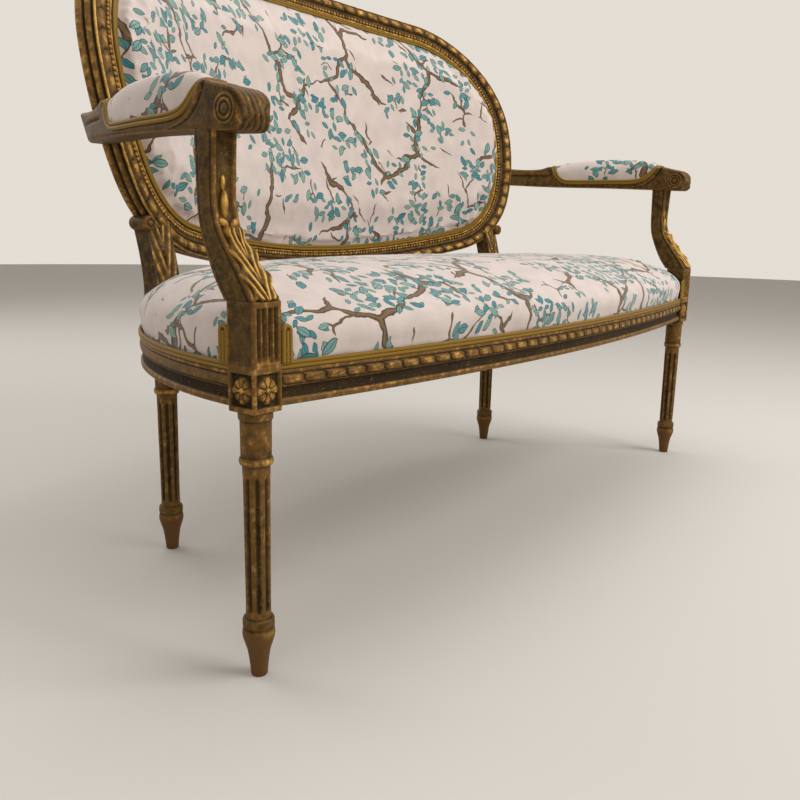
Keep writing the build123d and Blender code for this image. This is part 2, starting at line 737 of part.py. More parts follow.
for side, sign in (("left", -1), ("right", 1)):
    with BuildPart() as arm:
        with BuildSketch(Plane.XY.offset(arm_front_underside - arm_width)):
            arm_plan(0, sign)
        extrude(amount=4 * arm_width)
        with BuildSketch(Plane.YZ):
            with BuildLine():
                nose_y = pad_front_y - arm_round
                scroll_y = arm_end_y + arm_round
                Line((arm_tail_y, arm_rear_underside), (arm_tail_y, arm_rear_top))
                Polyline((arm_tail_y, arm_rear_top), (pad_rear_y, arm_rear_top), (pad_rear_y, arm_pad_seat))
                Line((pad_rear_y, arm_pad_seat), (pad_front_y, arm_pad_seat))
                ThreePointArc(
                    (pad_front_y, arm_pad_seat),
                    (pad_front_y - arm_round / 3, (arm_pad_seat + arm_nose_top) / 2),
                    (nose_y, arm_nose_top),
                )
                Line((nose_y, arm_nose_top), (scroll_y, arm_end_top))
                ThreePointArc(
                    (scroll_y, arm_end_top),
                    (arm_end_y, arm_end_top - arm_round),
                    (scroll_y, arm_underside(scroll_y)),
                )
                Line((scroll_y, arm_underside(scroll_y)), (arm_tail_y, arm_rear_underside))
            make_face()
        extrude(amount=2 * front_x, both=True, mode=Mode.INTERSECT)
        with BuildSketch(Plane.XZ):
            oval_face(joint_gap)
        extrude(amount=through, both=True, mode=Mode.SUBTRACT)
        with BuildSketch(Plane.XY.offset(arm_front_underside)):
            with Locations((sign * front_x, support_tenon_y)):
                Rectangle(support_tenon_width + 2 * tenon_gap, support_tenon_depth + 2 * tenon_gap)
        mortise_top = arm_underside(support_rear_y) + arm_tenon_height + tenon_gap
        extrude(amount=mortise_top - arm_front_underside, mode=Mode.SUBTRACT)
        rods([d for d in arm_dowels if d[0][0] * sign > 0], tenon_gap)
    write(arm.part, f"arm_{side}")

    bend_z = stump_top + support_bend_height
    bend_front = front_y + support_bend_set
    bend_rear = bend_front + support_bend_depth
    foot_front = front_y - half + support_bottom_front
    foot_rear = front_y + half
    foot_z = stump_top + joint_gap
    middle_z = (foot_z + bend_z) / 2
    with BuildPart() as arm_support:
        with BuildSketch(Plane.YZ.offset(sign * front_x - support_width / 2)):
            with BuildLine():
                ThreePointArc(
                    (foot_front, foot_z),
                    ((foot_front + bend_front) / 2 + support_front_sag, middle_z),
                    (bend_front, bend_z),
                )
                Polyline(
                    (bend_front, bend_z),
                    (support_front_y, arm_underside(support_front_y) - joint_gap),
                    (support_rear_y, arm_underside(support_rear_y) - joint_gap),
                    (bend_rear, bend_z),
                )
                ThreePointArc(
                    (bend_rear, bend_z),
                    ((foot_rear + bend_rear) / 2 + support_rear_sag, middle_z),
                    (foot_rear, foot_z),
                )
                Line((foot_rear, foot_z), (foot_front, foot_z))
            make_face()
        extrude(amount=support_width)
        tenons = (
            (front_y, stump_top - tenon_length, stump_top + tenon_length),
            (support_tenon_y, bend_z, arm_underside(support_rear_y) + arm_tenon_height),
        )
        for y, low, high in tenons:
            with BuildSketch(Plane.XY.offset(low)):
                with Locations((sign * front_x, y)):
                    Rectangle(support_tenon_width, support_tenon_depth)
            extrude(amount=high - low)
    write(arm_support.part, f"arm_support_{side}")

    # Arm pad: cover over stuffing, crowned, with a gimp round its foot
    shells = []
    for shrink in (0, pad_cover, pad_cover + cloth_gap):
        margin = gimp_thickness + cloth_gap + shrink
        low_z = arm_pad_seat + cloth_gap
        spring_z = arm_pad_seat + pad_crown / 2
        top_z = arm_pad_seat + pad_crown - shrink
        pad_start = pad_front_y + margin
        pad_end = pad_rear_y - margin
        with BuildPart() as pad:
            with BuildSketch(Plane.XY.offset(low_z)):
                arm_plan(margin, sign)
                keep_between(pad_start, pad_end)
            extrude(amount=2 * pad_crown)
            with BuildSketch(Plane.YZ):
                with BuildLine():
                    Line((pad_end, low_z), (pad_end, spring_z - shrink))
                    ThreePointArc(
                        (pad_end, spring_z - shrink),
                        ((pad_start + pad_end) / 2, top_z),
                        (pad_start, spring_z - shrink),
                    )
                    Polyline((pad_start, spring_z - shrink), (pad_start, low_z), (pad_end, low_z))
                make_face()
            extrude(amount=2 * front_x, both=True, mode=Mode.INTERSECT)
            crown = pad.faces().sort_by(Axis.Z)[-1]
            fillet(crown.edges().filter_by(Axis.X, reverse=True), pad_round - shrink)
        shells.append(pad.part)
    with BuildPart() as arm_pad_cover:
        add(shells[0])
        add(shells[1], mode=Mode.SUBTRACT)
    write(arm_pad_cover.part, f"arm_pad_cover_{side}")
    write(shells[2], f"arm_pad_{side}")

    with BuildPart() as arm_pad_gimp:
        with BuildSketch(Plane.XY.offset(arm_pad_seat)):
            arm_plan(0, sign)
            keep_between(pad_front_y + cloth_gap / 2, pad_rear_y - cloth_gap / 2)
        extrude(amount=gimp_width)
        with BuildSketch(Plane.XY.offset(arm_pad_seat)):
            arm_plan(gimp_thickness, sign)
            keep_between(pad_front_y + gimp_thickness, pad_rear_y - gimp_thickness)
        extrude(amount=gimp_width, mode=Mode.SUBTRACT)
    write(arm_pad_gimp.part, f"arm_pad_gimp_{side}")

# Corner blocks
for name, leg, inner, outer, middle, normal in corners:
    for side, sign in (("left", -1), ("right", 1)):
        with BuildPart() as corner_block:
            with BuildSketch(Plane.XY.offset(rail_bottom + joint_gap)):
                with BuildLine():
                    corner = [(sign * px, py) for px, py in (leg, inner, outer)]
                    Polyline(*corner, close=True)
                make_face()
            extrude(amount=corner_block_height)
            with BuildSketch(Plane.XY.offset(rail_bottom)):
                front_strip(-rail_thickness, rail_thickness + joint_gap)
                rear_strip(-rail_thickness, rail_thickness + joint_gap)
                side_strip(-rail_thickness, rail_thickness + joint_gap, sign)
                with Locations((sign * leg[0], leg[1])):
                    Rectangle(block_size + 2 * joint_gap, block_size + 2 * joint_gap)
            extrude(amount=2 * corner_block_height, mode=Mode.SUBTRACT)
            screw(middle, normal, sign, tenon_gap)
        write(corner_block.part, f"corner_block_{name}_{side}")

with BuildPart() as corner_screws:
    for name, leg, inner, outer, middle, normal in corners:
        for sign in (-1, 1):
            screw(middle, normal, sign, 0)
write(corner_screws.part, "corner_screws")

with BuildPart() as frame_dowels:
    rods(rear_rail_dowels + side_rail_dowels + back_dowels + upright_dowels + arm_dowels)
write(frame_dowels.part, "frame_dowels")

with BuildPart() as seat_brace:
    with BuildSketch(Plane.XY.offset(rail_bottom + joint_gap)):
        seat_outline(rail_thickness + joint_gap, rail_thickness + joint_gap)
        Rectangle(brace_width, 4 * leg_depth, mode=Mode.INTERSECT)
    extrude(amount=rail_show)
write(seat_brace.part, "seat_brace")

# Seat upholstery, from the underside up
under_rail = rail_bottom - cloth_gap
seat_low_y = on_front(0, rail_thickness)[1]
seat_high_y = on_rear(0, rail_thickness)[1]
seat_middle_y = (seat_low_y + seat_high_y) / 2
strip_pitch = (front_leg_spacing - block_size - webbing_width) / webbing_strips
row_pitch = (seat_high_y - seat_low_y) / webbing_rows
cloth_rest = rail_thickness / 2

with BuildPart() as seat_webbing:
    with BuildSketch(Plane.XY.offset(under_rail - webbing_thickness)):
        with Locations((0, seat_middle_y)):
            with GridLocations(strip_pitch, 1, webbing_strips, 1):
                Rectangle(webbing_width, 2 * leg_depth)
            with GridLocations(1, row_pitch, 1, webbing_rows):
                Rectangle(front_leg_spacing, webbing_width)
        seat_outline(cloth_rest, cloth_rest, mode=Mode.INTERSECT)
        cut_leg_squares(cloth_gap)
    extrude(amount=webbing_thickness)
write(seat_webbing.part, "seat_webbing")

with BuildPart() as dust_cover:
    with BuildSketch(Plane.XY.offset(under_rail - webbing_thickness - cloth_gap - dust_cloth)):
        seat_outline(cloth_rest, cloth_rest)
        cut_leg_squares(cloth_gap)
    extrude(amount=dust_cloth)
write(dust_cover.part, "dust_cover")

spring_low = rail_bottom
spring_high = rail_top
with BuildPart() as spring:
    with BuildSketch(Plane.XZ):
        spring_middle = (spring_low + spring_high) / 2
        with BuildLine():
            Polyline(
                (spring_radius - spring_wire, spring_low),
                (spring_radius, spring_low),
                (spring_waist, spring_middle),
                (spring_radius, spring_high),
                (spring_radius - spring_wire, spring_high),
                (spring_waist - spring_wire, spring_middle),
                close=True,
            )
        make_face()
    revolve(axis=Axis.Z)
with BuildPart() as seat_springs:
    with Locations((0, seat_middle_y)):
        with GridLocations(spring_spacing, spring_row_spacing, spring_columns, 2):
            add(spring.part)
write(seat_springs.part, "seat_springs")

hessian_low = rail_top + cloth_gap
with BuildPart() as seat_hessian:
    with BuildSketch(Plane.XY.offset(hessian_low)):
        seat_outline(tack_setback + cloth, tack_setback + cloth)
        cut_leg_squares(cloth_gap)
    extrude(amount=hessian)
write(seat_hessian.part, "seat_hessian")

# Domed seat: heights, insets from the rails' faces, and insets along the rear edge
seat_rise = seat_crown - rail_step
seat_levels = (
    (0.00, 3, 3),
    (0.12, 2.7, 3),
    (0.35, 0.5, 1),
    (0.45, 2.5, 5),
    (0.53, 6, 12),
    (0.62, 14, 24),
    (0.70, 26, 40),
    (0.78, 43, 57),
    (0.84, 62, 76),
    (0.90, 88, 100),
    (0.95, 118, 126),
    (1.00, 190, 190),
)


def seat_dome(shrink, mode=Mode.ADD):
    """Domed seat inside the rails, shrunk evenly."""
    sections = []
    for share, inset, rear_inset in seat_levels:
        z = rail_step + cloth_gap + (seat_rise - cloth_gap) * share - shrink
        with BuildSketch(Plane.XY.offset(z)) as level:
            seat_outline(inset + shrink, rear_inset + shrink)
        sections.append(level.sketch)
    loft(sections, ruled=True, mode=mode)


def cut_legs(low, grow):
    """Keep what is above a height and clear of the leg blocks."""
    with BuildSketch(Plane.XY.offset(low)) as plan:
        Rectangle(2 * front_leg_spacing, 4 * leg_depth)
        cut_leg_squares(grow)
    extrude(plan.sketch, amount=seat_crown, mode=Mode.INTERSECT)


with BuildPart() as seat_cover:
    seat_dome(0)
    seat_dome(cloth, Mode.SUBTRACT)
    cut_legs(rail_step, seat_leg_gap)
write(seat_cover.part, "seat_cover")

with BuildPart() as seat_stuffing:
    seat_dome(cloth + 2 * cloth_gap)
    cut_legs(hessian_low + hessian + cloth_gap, seat_leg_gap + cloth)
write(seat_stuffing.part, "seat_stuffing")

gimp_inner = seat_levels[1][1] - cloth_gap
with BuildPart() as seat_gimp_front:
    with BuildSketch(Plane.XY.offset(rail_step + cloth_gap)):
        front_strip(0, gimp_inner)
    extrude(amount=gimp_width)
write(seat_gimp_front.part, "seat_gimp_front")

with BuildPart() as seat_gimp_rear:
    with BuildSketch(Plane.XY.offset(rail_step + cloth_gap)):
        rear_strip(0, gimp_inner)
    extrude(amount=gimp_width)
write(seat_gimp_rear.part, "seat_gimp_rear")

for side, sign in (("left", -1), ("right", 1)):
    with BuildPart() as seat_gimp_side:
        with BuildSketch(Plane.XY.offset(rail_step + cloth_gap)):
            side_strip(0, gimp_inner, sign)
            with Locations((sign * rear_x, rear_y)):
                Rectangle(block_size + 2 * cloth_gap, block_size + 2 * cloth_gap, mode=Mode.SUBTRACT)
        extrude(amount=gimp_width)
    write(seat_gimp_side.part, f"seat_gimp_{side}")

# Upright gimps on the cloth beside the stumps
stump_gimp_low = rail_step + gimp_width + 2 * cloth_gap
stump_gimp_high = stump_top - block_height / 2
gimp_rest = seat_levels[2][1] - cloth_gap
with BuildPart() as stump_gimps:
    with BuildSketch(Plane.XY.offset(stump_gimp_low)):
        front_strip(gimp_rest - gimp_thickness, gimp_rest)
        Rectangle(2 * (front_end_x - gimp_width), 4 * leg_depth, mode=Mode.SUBTRACT)
        for sign in (-1, 1):
            with BuildSketch(mode=Mode.PRIVATE) as beside:
                side_strip(gimp_rest - gimp_thickness, gimp_rest, sign)
                keep_between(side_start[1], side_start[1] + gimp_width)
            add(beside.sketch)
    extrude(amount=stump_gimp_high - stump_gimp_low)
write(stump_gimps.part, "stump_gimps")

# Back upholstery
wood_edge = -back_member_width
gimp_front_depth = band_rise / 4
flange_depth = gimp_front_depth + gimp_thickness + cloth_gap
pad_edge = wood_edge - gimp_width - cloth_gap
stuffing_depth = flange_depth + cloth + cloth_gap


def crowned(shrink, rear_depth):
    """Front of the back pad, with its rim rounded over."""
    with BuildPart() as crown:
        add(back_layer(pad_edge - shrink, None, shrink - back_pad_rise, rear_depth))
        front_face = crown.faces().sort_by(SortBy.AREA)[-2]
        fillet(front_face.edges(), back_pad_round - shrink)
    return crown.part


with BuildPart() as back_cover:
    add(crowned(0, flange_depth + cloth))
    add(back_layer(wood_edge - cloth_gap, pad_edge - cloth, flange_depth, flange_depth + cloth))
    add(crowned(cloth, back_thickness), mode=Mode.SUBTRACT)
write(back_cover.part, "back_cover")

with BuildPart() as back_stuffing:
    add(back_layer(wood_edge - cloth_gap, None, stuffing_depth, back_pad_depth))
    add(crowned(cloth + cloth_gap, (stuffing_depth + back_pad_depth) / 2))
write(back_stuffing.part, "back_stuffing")

web_depth = back_pad_depth + cloth_gap
back_strip_pitch = 2 * back_half_width / (back_web_strips + 1)
back_row_pitch = (back_top_height - back_bottom_height) / (back_web_rows + 1)
with BuildPart() as back_webbing:
    with BuildSketch(Plane.XZ):
        with Locations((0, back_waist_height)):
            with GridLocations(back_strip_pitch, 1, back_web_strips, 1):
                Rectangle(webbing_width, 2 * back_top_height)
            with GridLocations(1, back_row_pitch, 1, back_web_rows):
                Rectangle(2 * back_half_width, webbing_width)
        with BuildLine() as rim:
            oval(wood_edge - cloth_gap)
        make_face(rim.edges(), mode=Mode.INTERSECT)
    extrude(amount=through, both=True)
    back_slab(web_depth, web_depth + webbing_thickness)
write(back_webbing.part, "back_webbing")

rear_cloth_depth = web_depth + webbing_thickness + cloth_gap
rear_cloth = back_layer(wood_edge - cloth_gap, None, rear_cloth_depth, rear_cloth_depth + cloth)
write(rear_cloth, "back_rear_cover")
for name, depth in (("front", gimp_front_depth), ("rear", rear_cloth_depth + cloth + cloth_gap)):
    gimp = back_layer(wood_edge - cloth_gap, wood_edge - gimp_width, depth, depth + gimp_thickness)
    write(gimp, f"back_gimp_{name}")
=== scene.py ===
"""Looks of a giltwood settee: carved oval back, padded arms, domed seat and fluted legs.

Everything is in metres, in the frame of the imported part: +X right, -Y front, +Z up.
"""

import json
from math import asin, atan2, cos, exp, hypot, pi, radians, sin, sqrt, tan

import bmesh
import bpy
from mathutils import Matrix, Vector


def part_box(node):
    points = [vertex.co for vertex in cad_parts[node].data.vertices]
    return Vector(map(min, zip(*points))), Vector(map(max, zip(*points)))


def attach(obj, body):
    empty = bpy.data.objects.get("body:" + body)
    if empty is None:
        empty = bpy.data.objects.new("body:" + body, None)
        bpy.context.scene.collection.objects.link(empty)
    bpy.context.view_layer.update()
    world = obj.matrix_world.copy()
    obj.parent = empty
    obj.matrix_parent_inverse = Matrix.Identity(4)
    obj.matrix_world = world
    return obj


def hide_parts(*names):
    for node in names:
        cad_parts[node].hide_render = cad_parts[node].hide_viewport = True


bl_info = {
    "name": "Giltwood settee",
    "version": (1, 0, 0),
    "blender": (4, 5, 0),
    "location": "View3D > Sidebar > Settee",
    "description": "Dresses a packed settee in carved giltwood, gimp and printed cloth",
    "category": "Object",
}

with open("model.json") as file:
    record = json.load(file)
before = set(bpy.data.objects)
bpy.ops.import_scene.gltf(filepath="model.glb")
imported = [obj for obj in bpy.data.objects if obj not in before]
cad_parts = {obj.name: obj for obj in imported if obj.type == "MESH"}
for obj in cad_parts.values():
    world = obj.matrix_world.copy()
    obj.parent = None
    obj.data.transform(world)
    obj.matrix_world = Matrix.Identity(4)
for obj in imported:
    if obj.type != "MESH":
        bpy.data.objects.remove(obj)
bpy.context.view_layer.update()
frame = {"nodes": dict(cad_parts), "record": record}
feet = {mount["name"]: mount["pos_m"] for mount in frame["record"]["mounts"]}
front_x, front_y = feet["front_right_foot"][:2]
rear_x, rear_y = feet["rear_right_foot"][:2]
rail_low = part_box("front_rail")[0].z
stump_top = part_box("front_leg_right")[1].z
mm = 0.001


def linear(code):
    """sRGB hex colour as linear red, green, blue."""
    channels = []
    for start in (0, 2, 4):
        value = int(code[start : start + 2], 16) / 255
        channels.append(value / 12.92 if value <= 0.04045 else ((value + 0.055) / 1.055) ** 2.4)
    return tuple(channels)


def size_property(name, description, default):
    return bpy.props.FloatProperty(name=name, description=description, default=default, unit="LENGTH")


def colour_property(name, description, code):
    return bpy.props.FloatVectorProperty(
        name=name, description=description, default=linear(code), subtype="COLOR", size=3, min=0, max=1
    )


class SetteeSizes(bpy.types.PropertyGroup):
    """Sizes of the mouldings, trim and pads."""

    front_bow: size_property("Front bow", "Bow of the front rail", 50 * mm)
    side_bow: size_property("Side bow", "Bow of a side rail", 38 * mm)
    rear_bow: size_property("Rear bow", "Bow of the rear rail", 88 * mm)
    back_radius: size_property("Back radius", "Plan radius of the back's front surface", 1.0)
    back_set: size_property("Back set", "Back surface behind the rear leg axis", 99 * mm)
    rake_height: size_property("Rake height", "Height where the back set is measured", 450 * mm)
    back_rake: bpy.props.FloatProperty(
        name="Back rake", description="Lean of the back", default=radians(12.9), subtype="ANGLE"
    )
    oval_half_width: size_property("Oval half width", "Half width of the back", 527 * mm)
    oval_waist: size_property("Oval waist", "Height of the widest place", 699 * mm)
    oval_top: size_property("Oval top", "Height of the top", 937 * mm)
    oval_bottom: size_property("Oval bottom", "Height of the bottom", 406 * mm)
    oval_side_radius: size_property("Side radius", "Radius of the side arcs", 416 * mm)
    oval_top_radius: size_property("Top radius", "Radius of the top arc", 3.0)
    oval_bottom_radius: size_property("Bottom radius", "Radius of the bottom arc", 1.9)
    oval_upper_corner: size_property("Upper corner", "Radius of the upper corners", 213 * mm)
    oval_lower_corner: size_property("Lower corner", "Radius of the lower corners", 175 * mm)
    ribbon_pitch: size_property("Ribbon pitch", "One turn of the carved ribbon", 29 * mm)
    bead_pitch: size_property("Bead pitch", "Spacing of the bead row", 7 * mm)
    cord_radius: size_property("Cord radius", "Radius of one cord of the gimp", 2.5 * mm)


class SetteeColours(bpy.types.PropertyGroup):
    """Colours of the finishes, as seen in even light."""

    olive: colour_property("Olive bronze", "Aged gilding", "4E3A19")
    # Umber also darkens the hollows, as dirt and as painted shade
    umber: colour_property("Umber", "Dirt in the hollows", "281C0B")
    gold: colour_property("Gold", "Rubbed high places", "C89F50")
    bole: colour_property("Red bole", "Clay ground where gold is worn", "704622")
    bronze: colour_property("Bronze", "Gilding dulled by handling", "735526")
    bare_wood: colour_property("Bare wood", "Feet worn to the wood", "664726")
    gesso: colour_property("Gesso", "Small chips down to the chalk", "A8946C")
    gimp: colour_property("Gimp", "Ochre gold cord", "8E6B12")
    ground: colour_property("Cloth ground", "Pale warm grey", "CFC0B8")
    leaf: colour_property("Leaf", "Teal leaves", "2A808B")
    sage: colour_property("Sage", "Paler leaves", "7FA598")
    twig: colour_property("Twig", "Brown middle of the twigs", "745836")
    outline: colour_property("Outline", "Dark line round the print", "2E241B")
    floor: colour_property("Floor", "Plain pale floor", "CFCBC4")


def set_inputs(tree, node, inputs):
    """Sets inputs of a node; they are values, sockets, or nodes whose first output is linked."""
    for key, value in inputs.items():
        socket = node.inputs[key]
        if isinstance(value, bpy.types.Node):
            value = value.outputs[0]
        if isinstance(value, bpy.types.NodeSocket):
            tree.links.new(value, socket)
        elif socket.type == "RGBA" and len(value) == 3:
            socket.default_value = (*value, 1)
        else:
            socket.default_value = value


def add_node(tree, kind, inputs=None, **settings):
    """Adds a node with its settings, values and links."""
    made = tree.nodes.new(kind)
    for key, value in settings.items():
        setattr(made, key, value)
    set_inputs(tree, made, inputs or {})
    return made


def new_material(name):
    """An empty node material: its tree, its surface shader and itself."""
    material = bpy.data.materials.get(name)
    if material:
        return None, None, material
    material = bpy.data.materials.new(name)
    material.use_nodes = True
    tree = material.node_tree
    tree.nodes.clear()
    shader = add_node(tree, "ShaderNodeBsdfPrincipled")
    add_node(tree, "ShaderNodeOutputMaterial", {"Surface": shader})
    return tree, shader, material


def aged_giltwood():
    """Oil-gilded carved wood, about a century old.

    Rubbed high places are bright and metallic, hollows hold dirt and painted shade, and worn edges
    show the red clay under the gold.
    """
    tree, shader, material = new_material("aged_giltwood")
    if tree is None:
        return material
    colours = bpy.context.scene.settee_colours
    place = add_node(tree, "ShaderNodeTexCoord").outputs["Object"]
    height = add_node(tree, "ShaderNodeAttribute", attribute_name="gild").outputs["Fac"]
    # Cloudy tarnish 45 mm across, rubbed patches 9 mm, chips 3 mm, scratches in a 14 mm pattern
    cloud = add_node(tree, "ShaderNodeTexNoise", {"Vector": place, "Scale": 1 / (45 * mm), "Detail": 4.0})
    rub = add_node(
        tree,
        "ShaderNodeTexNoise",
        {"Vector": place, "Scale": 1 / (9 * mm), "Detail": 5.0, "Roughness": 0.65},
    )
    chip = add_node(tree, "ShaderNodeTexNoise", {"Vector": place, "Scale": 1 / (3 * mm), "Detail": 2.0})
    scratch = add_node(
        tree,
        "ShaderNodeTexNoise",
        {"Vector": place, "Scale": 1 / (14 * mm), "Detail": 2.0, "Distortion": 2.5},
    )
    bare = add_node(tree, "ShaderNodeAttribute", attribute_name="bare").outputs["Fac"]
    tone = add_node(tree, "ShaderNodeMapRange", {0: cloud, 1: 0.32, 2: 0.68})
    olive = add_node(tree, "ShaderNodeMix", {0: tone, 6: colours.umber, 7: colours.olive}, data_type="RGBA")
    lifted = add_node(tree, "ShaderNodeMath", {0: height, 1: 0.75, 2: rub}, operation="MULTIPLY_ADD")
    dulled = add_node(tree, "ShaderNodeMapRange", {0: lifted, 1: 0.55, 2: 0.95})
    edge = add_node(tree, "ShaderNodeMapRange", {0: lifted, 1: 0.86, 2: 0.92, 3: 0.0, 4: 0.6})
    bright = add_node(tree, "ShaderNodeMapRange", {0: lifted, 1: 0.92, 2: 1.2})
    # Dirt and painted shade: the hollows, where the gilding height is low, are darkened with umber
    hollow = add_node(tree, "ShaderNodeMapRange", {0: height, 1: 0.0, 2: 0.2, 3: 0.75, 4: 0.0})
    lines = add_node(tree, "ShaderNodeMath", {0: scratch, 1: 0.5, 2: 0.004}, operation="COMPARE")
    chips = add_node(tree, "ShaderNodeMapRange", {0: chip, 1: 0.68, 2: 0.73})
    marks = add_node(tree, "ShaderNodeMath", {0: lines, 1: chips}, operation="MAXIMUM")
    patchy = add_node(tree, "ShaderNodeMapRange", {0: rub, 1: 0.45, 2: 0.6, 3: 0.0, 4: 0.6})
    shown = add_node(tree, "ShaderNodeMath", {0: marks, 1: patchy}, operation="MULTIPLY")
    # Laid over each other in this order: how much of a layer shows, and its colour
    layers = (
        (dulled, colours.bronze),
        (edge, colours.bole),
        (bright, colours.gold),
        (hollow, colours.umber),
        (shown, colours.gesso),
        (bare, colours.bare_wood),
    )
    laid = olive.outputs[2]
    for share, colour in layers:
        laid = add_node(tree, "ShaderNodeMix", {0: share, 6: laid, 7: colour}, data_type="RGBA").outputs[2]
    metal = add_node(tree, "ShaderNodeMath", {0: bright, 1: 0.5, 2: 0.2}, operation="MULTIPLY_ADD")
    shine = add_node(tree, "ShaderNodeMath", {0: metal, 1: hollow}, operation="SUBTRACT", use_clamp=True)
    worn = add_node(tree, "ShaderNodeMapRange", {0: rub, 1: 0.3, 2: 0.7, 3: 0.45, 4: 0.62})
    rough = add_node(tree, "ShaderNodeMath", {0: hollow, 1: 0.35, 2: worn}, operation="MULTIPLY_ADD")
    bump = add_node(tree, "ShaderNodeBump", {"Height": rub, "Strength": 0.3, "Distance": 0.6 * mm})
    set_inputs(tree, shader, {"Base Color": laid, "Metallic": shine, "Roughness": rough})
    set_inputs(tree, shader, {"Specular IOR Level": 0.15, "Normal": bump})
    return material


def cord_gimp():
    """Rayon double-cord gimp: two twisted cords side by side, satin, with fine slanting ribs."""
    tree, shader, material = new_material("cord_gimp")
    if tree is None:
        return material
    colours = bpy.context.scene.settee_colours
    along = add_node(tree, "ShaderNodeAttribute", attribute_name="along").outputs["Fac"]
    around = add_node(tree, "ShaderNodeAttribute", attribute_name="around").outputs["Fac"]
    # Ribs coarser than real yarn, so that they show
    rib_spacing = 2 * mm
    phase = add_node(
        tree, "ShaderNodeMath", {0: along, 1: 2 * pi / rib_spacing, 2: around}, operation="MULTIPLY_ADD"
    )
    rib = add_node(tree, "ShaderNodeMath", {0: phase}, operation="SINE")
    # Painted shade and painted highlight: each rib is coloured darker and lighter across its twist
    shade = add_node(tree, "ShaderNodeMapRange", {0: rib, 1: -1.0, 2: 1.0, 3: 0.72, 4: 1.08})
    lit = add_node(
        tree,
        "ShaderNodeMix",
        {0: 1.0, 6: colours.gimp, 7: shade.outputs[0]},
        data_type="RGBA",
        blend_type="MULTIPLY",
    )
    bump = add_node(tree, "ShaderNodeBump", {"Height": rib, "Strength": 0.6, "Distance": 0.4 * mm})
    set_inputs(tree, shader, {"Base Color": lit.outputs[2], "Roughness": 0.5})
    set_inputs(tree, shader, {"Specular IOR Level": 0.3, "Normal": bump})
    return material


def twig_distance(tree, spot, spacing):
    """Distance from a spot on the cloth to the nearest twig; twigs are cell edges bent by a 60 mm noise."""
    bend = add_node(tree, "ShaderNodeTexNoise", {"Vector": spot, "Scale": 1 / (60 * mm), "Detail": 3.0})
    bent = add_node(
        tree, "ShaderNodeVectorMath", {0: bend.outputs["Color"], 1: (0.5, 0.5, 0.5)}, operation="SUBTRACT"
    )
    drift = add_node(tree, "ShaderNodeVectorMath", {0: bent, 3: 55 * mm}, operation="SCALE")
    wander = add_node(tree, "ShaderNodeVectorMath", {0: spot, 1: drift}, operation="ADD")
    edge = add_node(
        tree,
        "ShaderNodeTexVoronoi",
        {"Vector": wander, "Scale": 1 / spacing},
        feature="DISTANCE_TO_EDGE",
        voronoi_dimensions="2D",
    )
    return add_node(tree, "ShaderNodeMath", {0: edge, 1: spacing}, operation="MULTIPLY")


